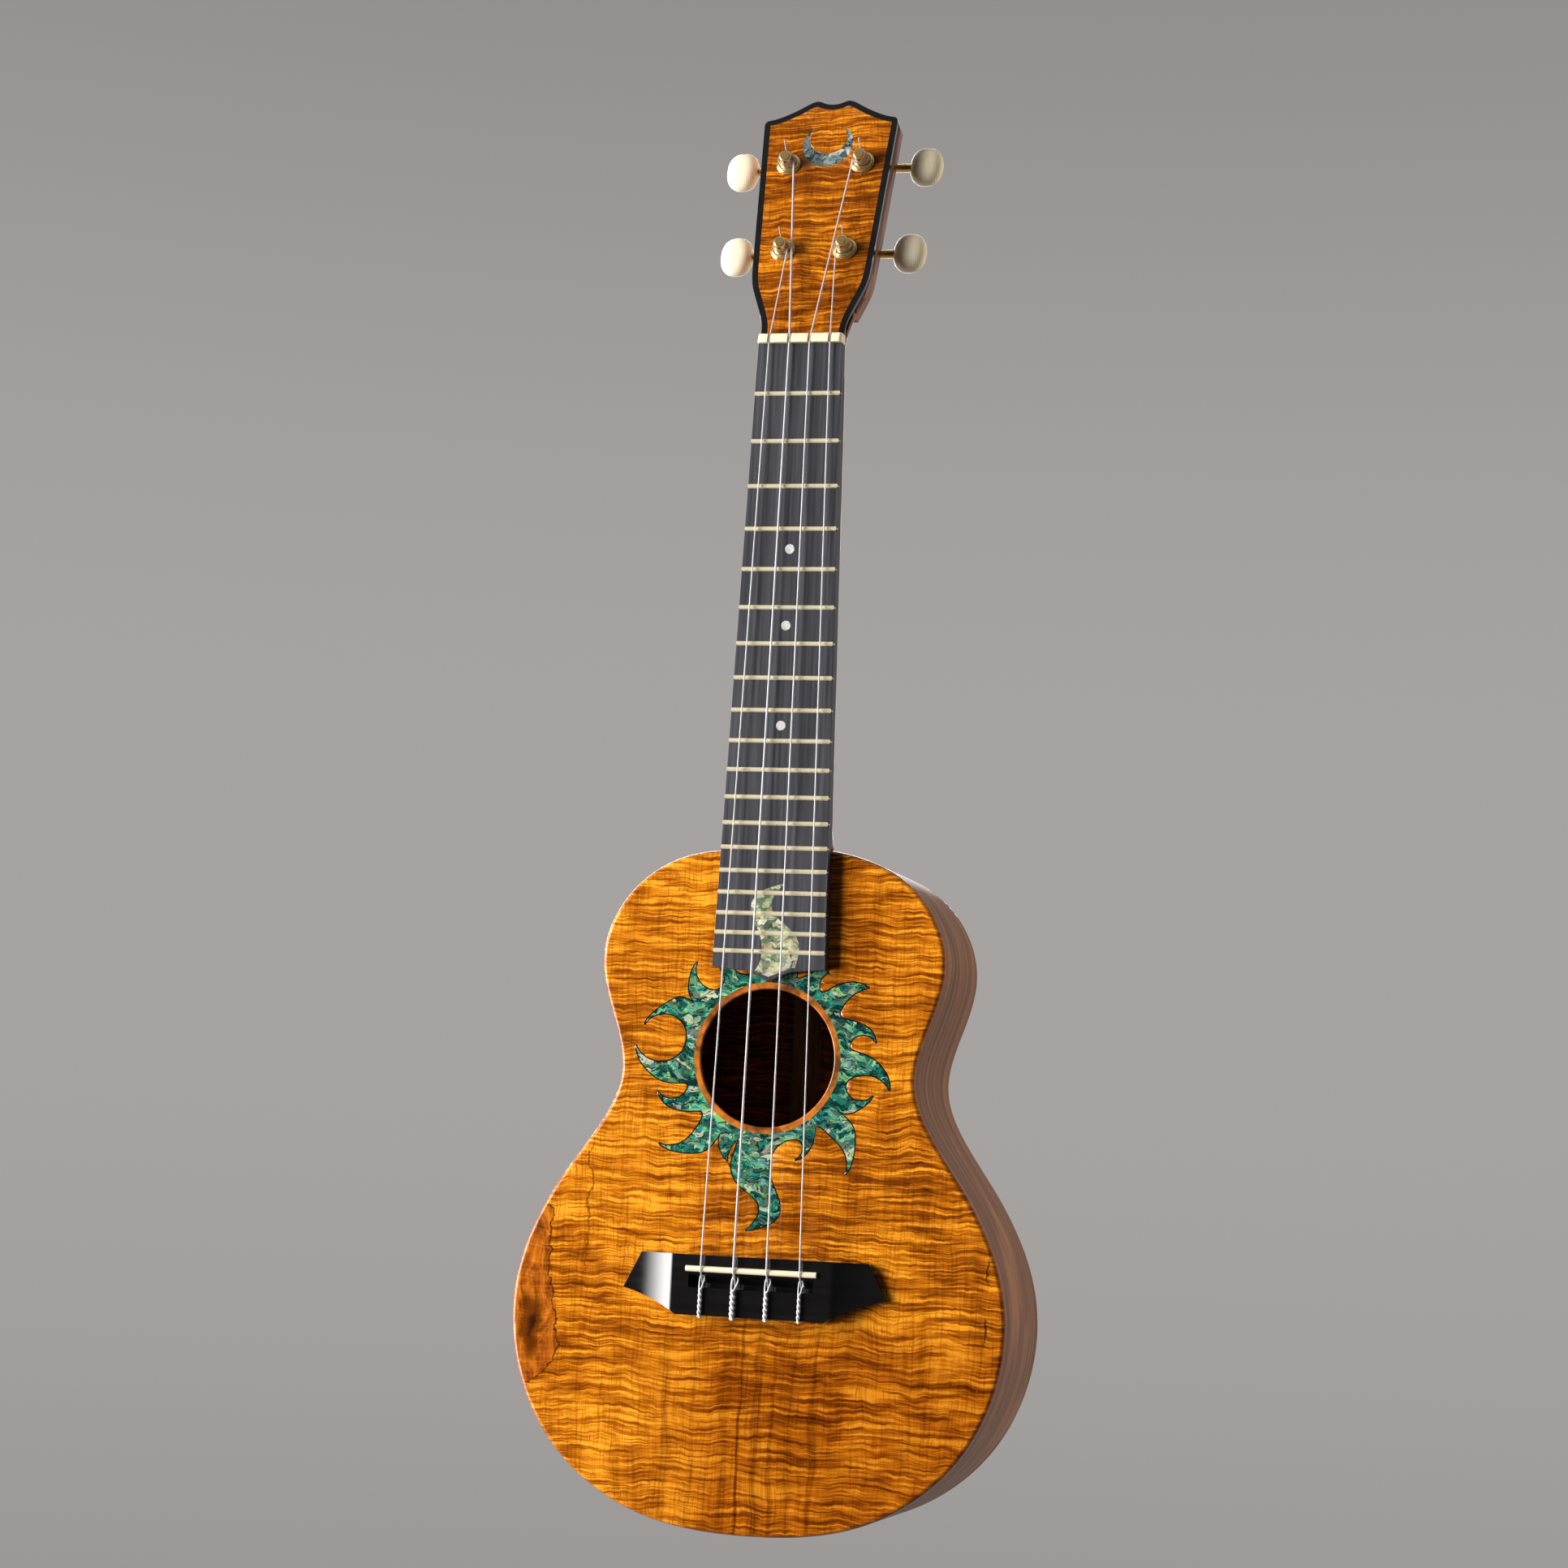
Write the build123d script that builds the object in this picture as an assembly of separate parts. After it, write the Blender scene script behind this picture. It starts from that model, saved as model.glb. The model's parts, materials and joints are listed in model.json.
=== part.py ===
from build123d import *

import math
import os

# Concert ukulele with a bolted neck, a bound headstock and four open-geared tuners.
#
# Millimetres.  +Z runs up the neck to the headstock, the soundboard faces -Y and +X is to the right
# as seen from the front.  The origin is the yoke seat: the middle of the neck's thickness, just above
# the nut, where the two arms of a hanger pass and the flare of the headstock bears on them.

# ---------------------------------------------------------------- driving dimensions
# Scale and string layout
SCALE = 381.0
NUT_Z = -16.0
FRET_COUNT = 19
STRING_SPACING_NUT = 8.7
STRING_SPACING_SADDLE = 13.75
STRING_DIAMETERS = (0.68, 0.92, 0.76, 0.62)
NUT_STRING_HEIGHT = 1.4
SADDLE_COMPENSATION = 2.0

# Fretboard
BOARD_FACE_Y = -10.0
BOARD_T = 5.0
BOARD_WIDTH_NUT = 36.0
BOARD_TAPER = 0.0445
BOARD_CORNER_OVERRUN = 6.6
BOARD_TIP_DROP = 5.4
BOARD_TIP_HALF = 9.0
FRET_CROWN_W = 1.9
FRET_CROWN_H = 0.95
FRET_TANG_W = 0.6
FRET_TANG_D = 1.6
FRET_END_BEVEL = 0.15
DOT_FRETS = (5, 7, 10)
DOT_R = 2.0
DOT_T = 1.2

# Nut and saddle
NUT_T = 4.0
NUT_RISE = 2.3
NUT_CORNER_R = 1.2
NUT_SLOT_SPARE = 0.7
NUT_BEND_R = 3.0
SADDLE_T = 2.4
SADDLE_PROUD = 1.54
SADDLE_LENGTH = 54.4
SADDLE_SLOT_D = 4.2
SADDLE_BACKING = 0.8

# Body: half outline as (half width, distance below the body's top), from the neck joint to the tail.
# The body's top lies just above the fret that stands over the neck joint.
JOINT_FRET = 14
BODY_ABOVE_JOINT_FRET = 0.2838
HALF_OUTLINE = (
    (0.0, 0.0),
    (34.0, 2.6),
    (57.5, 14.8),
    (72.4, 46.5),
    (61.8, 93.0),
    (83.0, 134.4),
    (103.0, 186.0),
    (87.3, 240.6),
    (47.4, 270.4),
    (0.0, 277.3),
)
OUTLINE_SAMPLES = 64
OFFSET_SAMPLES = 8
BODY_DEPTH_NECK = 64.0
BODY_DEPTH_TAIL = 76.0
TOP_T = 2.4
BACK_T = 2.4
SIDE_T = 2.0
EDGE_ROUND = 1.9
LINING_W = 5.0
LINING_D = 6.0
NECK_BLOCK_W = 48.0
NECK_BLOCK_L = 30.0
END_BLOCK_W = 56.0
END_BLOCK_L = 14.0

# Soundhole, its ring and the sun inlay
BOARD_TO_RING = 0.1435
HOLE_R = 28.1
RING_W = 2.7
# The sun is drawn for a ring of this radius and scaled to the ring that it goes round
SUN_RING_R = 30.8
SUN_VALLEY_R = 34.8
# Each flame: angle of its root, angle of its tip, tip radius; equal angles make a long S-shaped flame
SUN_FLAMES = (
    (-90.0, -90.0, 70.0),
    (-62.0, -71.0, 43.0),
    (-43.0, -52.0, 57.5),
    (-25.0, -17.0, 47.0),
    (-4.0, -12.0, 53.0),
    (18.0, 10.0, 46.0),
    (41.0, 36.0, 51.0),
    (60.0, 56.0, 43.0),
    (90.0, 90.0, 71.0),
    (118.0, 121.0, 43.0),
    (138.0, 130.0, 49.5),
    (156.0, 167.0, 54.0),
    (187.0, 177.0, 56.0),
    (208.0, 199.0, 48.0),
    (230.0, 220.0, 57.0),
    (247.0, 251.0, 44.5),
)
FLAME_HALF_W = 3.5
FLAME_HALF_W_GROWTH = 0.15
FLAME_BOW = 0.45
LONG_FLAME_HALF_W = 10.5
LONG_FLAME_SWING = 5.0
SUN_BORDER_W = 0.5
INLAY_T = 1.2
INLAY_MARGIN = 1.6

# Braces
BRACE_W = 6.0
BRACE_H = 9.0
BRACE_OFFSET = 42.0
FAN_W = 4.5
FAN_H = 5.5
FAN_SPREAD = 24.0
BRIDGE_PLATE = (72.0, 1.6, 30.0)
BACK_BRACE_DROPS = (40.0, 118.0, 205.0)
BACK_STRIP_W = 12.0
BACK_STRIP_T = 1.8

# Neck and heel
NECK_DEPTH_NUT = 12.4
NECK_DEPTH_HEEL = 15.0
HEEL_CAP_T = 2.4
HEEL_SECTIONS = (
    (0.0, 1.0, 46.0),
    (0.26, 0.9, 33.0),
    (0.5, 0.72, 20.0),
    (0.75, 0.58, 14.5),
    (1.0, 0.52, 13.0),
)
BOLT_R = 3.0
BOLT_CLEAR = 0.2
BOLT_HEAD_R = 5.5
BOLT_HEAD_T = 3.0
BOLT_BITE = 12.0
BOLT_DEPTH = 30.0
INSERT_R = 4.5
INSERT_L = 11.0

# Headstock, in its own tilted plane: x across, s up from the back edge of the nut
HEAD_ANGLE = 16.0
HEAD_DROP = 2.8
HEAD_T = 10.5
FACE_T = 2.0
BINDING_W = 2.6
HEAD_FLARE = ((18.0, 1.5), (19.7, 10.5), (23.6, 21.0), (25.8, 33.0))
HEAD_CORNER = (29.4, 104.2)
HEAD_CROWN = ((27.3, 107.0), (19.8, 109.5), (13.6, 112.8), (6.9, 116.0), (0.0, 114.2))
HEAD_BLEND_S = 12.0
CRESCENT_S = 94.0
CRESCENT_R = 11.0
CRESCENT_INNER_R = 8.4
CRESCENT_SHIFT = 3.6

# Tuners, in the headstock's plane
POST_PLACES = {"lower": (13.5, 41.5), "upper": (16.2, 84.3)}
POST_R = 2.75
POST_TOP_R = 2.6
POST_TOP_H = 7.5
POST_FLARE_R = 3.7
POST_FLARE_H = 2.1
POST_JOURNAL_R = 2.4
POST_SEAT_R = 1.6
STRING_HOLE_R = 0.7
STRING_HOLE_H = 6.0
RUN_CLEAR = 0.04
BUSHING_R = 3.9
BUSHING_L = 7.0
BUSHING_FLANGE_R = 5.2
BUSHING_FLANGE_T = 0.9
BUSHING_COLLAR_R = 4.4
BUSHING_COLLAR_T = 0.9
GEAR_TEETH = 14
MODULE = 0.6
GEAR_W = 3.0
WORM_PITCH_R = 2.0
WORM_L = 8.4
TOOTH_ADDENDUM = 0.5
TOOTH_DEDENDUM = 0.7
TOOTH_SHARE = 0.40
FLANK_ANGLE = 20.0
GEAR_TO_PLATE = 1.7
SHAFT_R = 1.8
PLATE_T = 0.8
PLATE_INNER = 9.4
PLATE_OUTER = 9.4
PLATE_LOW = 9.5
PLATE_HIGH = 10.2
LUG_T = 1.6
LUG_W = 6.0
SCREW_R = 1.1
SCREW_HEAD_R = 2.0
SCREW_HEAD_T = 1.2
SCREW_L = 6.0
BUTTON_REACH = 24.5
BUTTON_SIZE = (14.2, 18.0, 9.0)
WIND_TURNS = 3
WIND_H = 2.65
TAIL_L = 3.6

# Bridge: its upper edge ahead of the saddle, and its tips and lower edge behind it
BRIDGE_AHEAD = 5.6
BRIDGE_TIP_BEHIND = 9.0
BRIDGE_BEHIND = 18.6
BRIDGE_FRONT_HALF = 47.6
BRIDGE_TIP_HALF = 54.8
BRIDGE_REAR_HALF = 31.0
BRIDGE_CENTRE_HALF = 32.5
BRIDGE_H = 7.6
BRIDGE_TIP_H = 3.0
TIE_BEHIND = 7.5
TIE_CHANNEL_DEPTH = 4.8
TIE_CHANNEL_RAMP = 3.6
TIE_CHANNEL_HALF = 26.0
TIE_HOLE_R = 0.9
TIE_HOLE_H = 4.2

# ---------------------------------------------------------------- derived places
TOP_Y = BOARD_FACE_Y + BOARD_T
INNER_TOP_Y = TOP_Y + TOP_T
BACK_SLOPE = (BODY_DEPTH_TAIL - BODY_DEPTH_NECK) / HALF_OUTLINE[-1][1]
NUT_BACK_Z = NUT_Z + NUT_T
SADDLE_Z = NUT_Z - SCALE - SADDLE_COMPENSATION
SADDLE_TOP_Y = TOP_Y - BRIDGE_H - SADDLE_PROUD
SADDLE_STRING_HEIGHT = BOARD_FACE_Y - SADDLE_TOP_Y + max(STRING_DIAMETERS) / 2
BRIDGE_FRONT_Z = SADDLE_Z + BRIDGE_AHEAD
BRIDGE_TIP_Z = SADDLE_Z - BRIDGE_TIP_BEHIND
BRIDGE_REAR_Z = SADDLE_Z - BRIDGE_BEHIND
TIE_FRONT_Z = SADDLE_Z - TIE_BEHIND
HEAD_Y = BOARD_FACE_Y + HEAD_DROP
SIN_HEAD = math.sin(math.radians(HEAD_ANGLE))
COS_HEAD = math.cos(math.radians(HEAD_ANGLE))
GEAR_PITCH_R = MODULE * GEAR_TEETH / 2
WORM_OFFSET = GEAR_PITCH_R + WORM_PITCH_R
WORM_DEPTH = HEAD_T + PLATE_T + GEAR_TO_PLATE + GEAR_W / 2
AXIAL_PITCH = math.pi * MODULE
RING_OUTER_R = HOLE_R + RING_W
FAR = 400.0


def fret_z(number):
    """Height of a fret, in equal temperament from the nut."""
    return NUT_Z - SCALE * (1 - 2 ** (-number / 12))


BODY_TOP_Z = fret_z(JOINT_FRET) + BODY_ABOVE_JOINT_FRET
BODY_TAIL_Z = BODY_TOP_Z - HALF_OUTLINE[-1][1]
BOARD_END_Z = fret_z(FRET_COUNT) - BOARD_CORNER_OVERRUN
HOLE_Z = BOARD_END_Z - BOARD_TIP_DROP - BOARD_TO_RING - RING_OUTER_R


def board_half(z):
    """Half width of the fretboard at a height."""
    return (BOARD_WIDTH_NUT + BOARD_TAPER * (NUT_Z - z)) / 2


def back_y(z):
    """Outer face of the back at a height."""
    return TOP_Y + BODY_DEPTH_NECK + BACK_SLOPE * (BODY_TOP_Z - z)


def front_plane(y):
    """Plane facing the player at depth y, with local x across and local y up."""
    return Plane(origin=(0, y, 0), x_dir=(1, 0, 0), z_dir=(0, -1, 0))


def slab(face, y_front, y_back):
    """A flat shape drawn from the front, solid between two depths."""
    return extrude(front_plane(y_back) * face, amount=y_back - y_front)


def side_prism(points, half_width, centre_x=0.0):
    """A (y, z) polygon, solid across the width."""
    face = make_face(Polyline(*points, close=True))
    placed = Plane(origin=(centre_x - half_width, 0, 0), x_dir=(0, 1, 0), z_dir=(1, 0, 0)) * face
    return extrude(placed, amount=2 * half_width)


def tilted_slice(front_gap, back_gap):
    """Everything between two planes parallel to the back, at these distances in front of its outer face."""
    high, low = BODY_TOP_Z + 30, BODY_TAIL_Z - 30
    corners = [
        (back_y(high) - front_gap, high),
        (back_y(high) - back_gap, high),
        (back_y(low) - back_gap, low),
        (back_y(low) - front_gap, low),
    ]
    return side_prism(corners, FAR)


def half_space(x_low, x_high, z_low, z_high):
    """A block through the whole depth, to cut or keep by width and height."""
    return Pos((x_low + x_high) / 2, 0, (z_low + z_high) / 2) * Box(x_high - x_low, FAR, z_high - z_low)


def moved_inward(edge, distance, samples):
    """Evenly spaced points of a closed edge, moved to the right-hand side of its travel."""
    points = []
    for i in range(samples):
        point, along = edge @ (i / samples), edge % (i / samples)
        points.append((point.X + along.Y * distance, point.Y - along.X * distance))
    return points


def symmetric_face(edges):
    """Joins a right half outline to its mirror image."""
    right = [e for edge in edges for e in edge.edges()]
    left = [e for edge in right for e in mirror(edge, Plane.YZ).edges()]
    return make_face(Wire(right + left))


def moved_face(face, amount):
    """A face grown or shrunk all round, with every curve of its edge drawn again as a plain spline."""
    edges = []
    for edge in offset(face, amount=amount, kind=Kind.ARC).faces()[0].outer_wire().edges():
        points = [edge @ (i / OFFSET_SAMPLES) for i in range(OFFSET_SAMPLES + 1)]
        straight = edge.geom_type == GeomType.LINE
        edges.append(Line(points[0], points[-1]) if straight else Spline(*points))
    return make_face(Wire(edges))


def body_face(inset=0.0):
    """The body's outline, moved in by a distance."""
    right = [(x, BODY_TOP_Z - drop) for x, drop in HALF_OUTLINE]
    left = [(-x, z) for x, z in right[-2:0:-1]]
    edge = Spline(*right, *left, periodic=True)
    if inset:
        edge = Spline(*moved_inward(edge, inset, OUTLINE_SAMPLES), periodic=True)
    return make_face(Wire([edge]))


PARTS = {}


def keep(name, *shapes):
    """Records the solids of one node."""
    solids = [s for shape in shapes for s in shape.solids()]
    PARTS[name] = solids[0] if len(solids) == 1 else Compound(children=solids)


# ---------------------------------------------------------------- sun inlay
def flame_point(flame, share, side):
    """A point on one side of a flame (side 1 or -1), a share of the way from its root to its tip."""
    root, tip, tip_radius = flame
    reach = tip_radius - SUN_VALLEY_R
    radius = SUN_VALLEY_R + reach * share
    if root == tip:
        half = LONG_FLAME_HALF_W * (1 - share) ** 0.75
        swing = -LONG_FLAME_SWING * (math.sin(2 * math.pi * share) + share**5)
        angle = root
    else:
        half = (FLAME_HALF_W + FLAME_HALF_W_GROWTH * (reach - 7)) * (1 - share) ** 0.6
        swing = 0.0
        angle = root + (tip - root) * (share**2.2 - FLAME_BOW * math.sin(math.pi * share))
    turn = math.radians(angle) + (swing + side * half) / radius
    return Vector(radius * math.cos(turn), radius * math.sin(turn))


def sun_face(grow=0.0):
    """A ring of hooked flames round the soundhole; grow widens it all round."""
    edges = []
    for flame, following in zip(SUN_FLAMES, SUN_FLAMES[1:] + SUN_FLAMES[:1]):
        low, high = flame_point(flame, 0.3, 1), flame_point(following, 0.3, -1)
        dip = min(low.length, high.length) - 0.6 * (high - low).length
        valley = (low + high).normalized() * max(SUN_VALLEY_R, dip)
        down = [flame_point(flame, 1, 1), flame_point(flame, 0.68, 1), low]
        rise = [high, flame_point(following, 0.68, -1), flame_point(following, 1, 1)]
        edges.append(Spline(*down, valley, *rise))
    ratio = RING_OUTER_R / SUN_RING_R
    shape = make_face(Wire(edges))
    if grow:
        shape = moved_face(shape, grow / ratio)
    return Pos(0, HOLE_Z) * (scale(shape, by=ratio) - Circle(RING_OUTER_R))


def board_face(inset=0.0):
    """The fretboard from the front: tapered, with a pointed lower end."""
    top, low = NUT_Z - inset, BOARD_END_Z + inset
    tip = low - BOARD_TIP_DROP
    half = [
        (0, top),
        (board_half(top) - inset, top),
        (board_half(low) - inset, low),
        (BOARD_TIP_HALF, low - 1.4),
        (0, tip),
    ]
    return symmetric_face([Line(a, b) for a, b in zip(half[:-1], half[1:])])


def fret_slots():
    """The saw cuts that hold the fret tangs."""
    cuts = []
    for number in range(1, FRET_COUNT + 1):
        z = fret_z(number)
        size = (2 * board_half(z) + 2, FRET_TANG_D + 2, FRET_TANG_W)
        cuts.append(Pos(0, BOARD_FACE_Y + FRET_TANG_D - size[1] / 2, z) * Box(*size))
    return cuts


# ---------------------------------------------------------------- body
def build_body():
    outline, inner = body_face(), body_face(SIDE_T)
    lined = body_face(SIDE_T + LINING_W)
    sun, sun_grown = sun_face(), sun_face(SUN_BORDER_W)
    board = board_face()
    on_top = Pos(0, HOLE_Z) * Circle(RING_OUTER_R)

    top = slab(outline, TOP_Y, INNER_TOP_Y)
    rim = [e for e in top.edges() if abs(e.center().Y - TOP_Y) < 0.01]
    top = fillet(rim, EDGE_ROUND)
    top -= slab(on_top, TOP_Y - 1, INNER_TOP_Y + 1)
    pocket = sun_grown - board
    keep("soundboard", top - slab(pocket, TOP_Y - 1, TOP_Y + INLAY_T))
    keep("sun_inlay", slab(sun - board, TOP_Y, TOP_Y + INLAY_T))
    keep("sun_border", slab(pocket - sun, TOP_Y, TOP_Y + INLAY_T))

    ring = slab(Pos(0, HOLE_Z) * (Circle(RING_OUTER_R) - Circle(HOLE_R)), TOP_Y, INNER_TOP_Y)
    lip = [e for e in ring.edges().filter_by(GeomType.CIRCLE) if abs(e.radius - HOLE_R) < 0.01]
    keep("soundhole_ring", fillet(lip, 0.7))

    behind = tilted_slice(FAR, BACK_T)
    bolt_hole = bolt_bore(BOLT_R + BOLT_CLEAR)
    wall = (slab(outline - inner, INNER_TOP_Y, 120) & behind) - bolt_hole
    keep("side_left", wall & half_space(-FAR, 0, -900, 0))
    keep("side_right", wall & half_space(0, FAR, -900, 0))

    back = slab(outline, 0, 120) & tilted_slice(BACK_T, 0)
    edge = [e for e in back.edges() if abs(e.center().Y - back_y(e.center().Z)) < 0.05]
    keep("back_plate", fillet(edge, EDGE_ROUND))

    inside = slab(inner, INNER_TOP_Y, 120) & behind
    neck_end = half_space(-NECK_BLOCK_W / 2, NECK_BLOCK_W / 2, BODY_TOP_Z - NECK_BLOCK_L, 0)
    tail_end = half_space(-END_BLOCK_W / 2, END_BLOCK_W / 2, -900, BODY_TAIL_Z + END_BLOCK_L)
    keep("neck_block", (inside & neck_end) - bolt_hole)
    keep("end_block", inside & tail_end)

    band = slab(inner - lined, INNER_TOP_Y, 120) - neck_end - tail_end
    front_depth = slab(outline, INNER_TOP_Y, INNER_TOP_Y + LINING_D)
    keep("linings_front", band & front_depth)
    keep("linings_back", band & tilted_slice(BACK_T + LINING_D, BACK_T))
    build_braces(lined, neck_end, tail_end)


def build_braces(lined, neck_end, tail_end):
    """Bars glued inside the soundboard and the back, their ends against the linings."""
    room = slab(lined, INNER_TOP_Y, 120) - neck_end - tail_end
    wide, thick, tall = BRIDGE_PLATE
    bridge_z = (BRIDGE_FRONT_Z + BRIDGE_REAR_Z) / 2
    plate = Pos(0, INNER_TOP_Y + thick / 2, bridge_z) * Box(wide, thick, tall)
    bars = []
    for z in (HOLE_Z + BRACE_OFFSET, HOLE_Z - BRACE_OFFSET):
        bars.append(Pos(0, INNER_TOP_Y + BRACE_H / 2, z) * Box(FAR, BRACE_H, BRACE_W) & room)
    fan_top = HOLE_Z - BRACE_OFFSET - BRACE_W / 2
    fan_low = BODY_TAIL_Z + END_BLOCK_L + 8
    for side in (-1, 0, 1):
        middle = (fan_top + fan_low) / 2
        bar = Box(FAN_W, FAN_H, fan_top - fan_low - 10)
        lean = Rot(0, -side * 6, 0) * bar
        placed = Pos(side * FAN_SPREAD, INNER_TOP_Y + FAN_H / 2, middle) * lean
        bars.append(placed - plate)
    keep("soundboard_braces", *bars)
    keep("bridge_plate", plate)

    ribs = []
    layer = tilted_slice(BACK_T + BRACE_H, BACK_T)
    for drop in BACK_BRACE_DROPS:
        z = BODY_TOP_Z - drop
        ribs.append(half_space(-FAR, FAR, z - BRACE_W / 2, z + BRACE_W / 2) & layer & room)
    strip = half_space(-BACK_STRIP_W / 2, BACK_STRIP_W / 2, BODY_TAIL_Z, BODY_TOP_Z)
    strip = strip & tilted_slice(BACK_T + BACK_STRIP_T, BACK_T) & room
    for rib in ribs:
        strip -= rib
    keep("back_bracing", *ribs, strip)


def bolt_bore(radius):
    """A hole along the neck bolt, through the block and the sides and into the heel."""
    low, high = BODY_TOP_Z - NECK_BLOCK_L - 20, BODY_TOP_Z + BOLT_BITE
    return Pos(0, TOP_Y + BOLT_DEPTH, (low + high) / 2) * Cylinder(radius, high - low)


def build_neck_fastening():
    start = BODY_TOP_Z - NECK_BLOCK_L
    shank_top = BODY_TOP_Z + BOLT_BITE - 1
    shank = Pos(0, 0, (start + shank_top) / 2) * Cylinder(BOLT_R, shank_top - start)
    head = Pos(0, 0, start - BOLT_HEAD_T / 2) * Cylinder(BOLT_HEAD_R, BOLT_HEAD_T)
    socket = Pos(0, 0, start - BOLT_HEAD_T) * Box(3.5, 3.5, 3.0)
    keep("neck_bolt", Pos(0, TOP_Y + BOLT_DEPTH, 0) * (shank + head - socket))
    middle = BODY_TOP_Z + 1.0 + INSERT_L / 2
    sleeve = Cylinder(INSERT_R, INSERT_L) - Cylinder(BOLT_R, INSERT_L)
    keep("neck_insert", Pos(0, TOP_Y + BOLT_DEPTH, middle) * sleeve)


# ---------------------------------------------------------------- neck
def head_plane(x, s, depth=0.0):
    """The headstock's own frame: local x across, y up the face, z out of the face."""
    y = HEAD_Y + s * SIN_HEAD + depth * COS_HEAD
    z = NUT_BACK_Z + s * COS_HEAD - depth * SIN_HEAD
    return Plane(origin=(x, y, z), x_dir=(1, 0, 0), z_dir=(0, -COS_HEAD, SIN_HEAD))


def head_face(inset=0.0):
    """The headstock's outline in its own plane, from the nut up."""
    flare_top = HEAD_FLARE[-1]
    side = Line(flare_top, HEAD_CORNER)
    flare = Spline(*HEAD_FLARE, tangents=[(0, 1), side % 0])
    corner = ThreePointArc(HEAD_CORNER, (28.8, 106.2), HEAD_CROWN[0])
    crown = Spline(*HEAD_CROWN, tangents=[corner % 1, (-1, 0)])
    root = HEAD_FLARE[0]
    half = [Line((0, 0), (root[0], 0)), Line((root[0], 0), root), flare, side, corner, crown]
    face = symmetric_face(half)
    if inset:
        strip = Pos(0, inset) * Rectangle(2 * (root[0] - inset), 2 * inset)
        face = moved_face(face, -inset) + strip
    return face


def neck_section(plane, half, depth, square):
    """A D-shaped section: flat in front, and rounder or squarer behind."""
    points = []
    steps = 8
    for i in range(steps + 1):
        turn = math.pi * i / steps
        cosine, sine = math.cos(turn), math.sin(turn)
        across = math.copysign(abs(cosine) ** (2 / square), cosine) if 0 < i < steps else cosine
        points.append((half * across, depth * max(sine, 0.0) ** (2 / square)))
    points[0], points[-1] = (half, 0.0), (-half, 0.0)
    curve = Spline(*points)
    return plane * make_face(Wire([curve, Line(points[-1], points[0])]))


def cross_plane(y, z, tilt):
    """Plane across the neck with local y pointing back; tilt leans it with the headstock."""
    lean = math.radians(tilt)
    return Plane(origin=(0, y, z), x_dir=(1, 0, 0), z_dir=(0, math.sin(lean), math.cos(lean)))


def build_neck():
    shaft = loft(
        [
            neck_section(cross_plane(TOP_Y, BODY_TOP_Z - 6, 0), board_half(BODY_TOP_Z), NECK_DEPTH_HEEL, 2.1),
            neck_section(cross_plane(TOP_Y, NUT_Z - 14, 0), board_half(NUT_Z - 14), NECK_DEPTH_NUT, 2.1),
        ]
    )
    core = head_plane(0, HEAD_BLEND_S, FACE_T).origin
    blend_half = HEAD_FLARE[1][0] + 0.55
    blend = loft(
        [
            neck_section(cross_plane(TOP_Y, NUT_Z - 14, 0), board_half(NUT_Z - 14), NECK_DEPTH_NUT, 2.1),
            neck_section(cross_plane(TOP_Y, NUT_BACK_Z, HEAD_ANGLE / 2), board_half(NUT_Z), 11.4, 2.7),
            neck_section(cross_plane(core.Y, core.Z, HEAD_ANGLE), blend_half, HEAD_T - FACE_T, 5.0),
        ]
    )
    core_slab = extrude(head_plane(0, 0, HEAD_T) * head_face(), amount=HEAD_T - FACE_T)
    keep_above = head_plane(0, HEAD_BLEND_S + 60, 0) * Box(120, 120, 80)
    neck = shaft + blend + (core_slab & keep_above)

    heel_end = back_y(BODY_TOP_Z) - HEEL_CAP_T
    sections = []
    for share, width, reach in HEEL_SECTIONS:
        y = TOP_Y + share * (heel_end - TOP_Y)
        sections.append(heel_section(y, board_half(BODY_TOP_Z) * width, reach))
    heel = loft(sections)
    envelope = slab(body_face(), TOP_Y, 120)
    in_front = side_prism([(TOP_Y, NUT_BACK_Z), (-60, NUT_BACK_Z), (-60, -400), (TOP_Y, -400)], 60)
    face_side = extrude(head_plane(0, 0, FACE_T) * Rectangle(120, 400), amount=60)
    face_side &= half_space(-FAR, FAR, NUT_BACK_Z, 300)
    neck = (neck + heel) - envelope - in_front - face_side
    neck -= bolt_bore(BOLT_R + BOLT_CLEAR)
    neck -= Pos(0, TOP_Y + BOLT_DEPTH, BODY_TOP_Z + 1.0 + INSERT_L / 2) * Cylinder(INSERT_R, INSERT_L)
    for side in (-1, 1):
        for x, s in POST_PLACES.values():
            neck -= head_plane(side * x, s) * Pos(0, 0, -HEAD_T / 2) * Cylinder(BUSHING_R, HEAD_T * 2)
            neck -= tuner_place(side, x, s, screw_shapes())
    keep("neck", max(neck.solids(), key=lambda s: s.volume))

    cap_face = heel_section(heel_end, board_half(BODY_TOP_Z) * HEEL_SECTIONS[-1][1], HEEL_SECTIONS[-1][2])
    cap = extrude(cap_face, amount=HEEL_CAP_T, dir=(0, 1, 0)) - envelope
    keep("heel_cap", cap)

    holes = [
        head_plane(side * x, s) * Cylinder(BUSHING_R, 3 * FACE_T)
        for side in (-1, 1)
        for x, s in POST_PLACES.values()
    ]
    nut_side = half_space(-FAR, FAR, -400, NUT_BACK_Z)
    crescent = crescent_face()
    inner, outer = head_face(BINDING_W), head_face()
    base = head_plane(0, 0, FACE_T)
    cheek = extrude(base * inner, amount=FACE_T) - nut_side
    pocket = extrude(head_plane(0, 0, INLAY_T) * crescent, amount=INLAY_T + 1)
    cheek -= pocket
    for hole in holes:
        cheek -= hole
    keep("headstock_face", cheek)
    keep("headstock_binding", extrude(base * (outer - inner), amount=FACE_T) - nut_side)
    keep("headstock_inlay", extrude(head_plane(0, 0, INLAY_T) * crescent, amount=INLAY_T))


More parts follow.
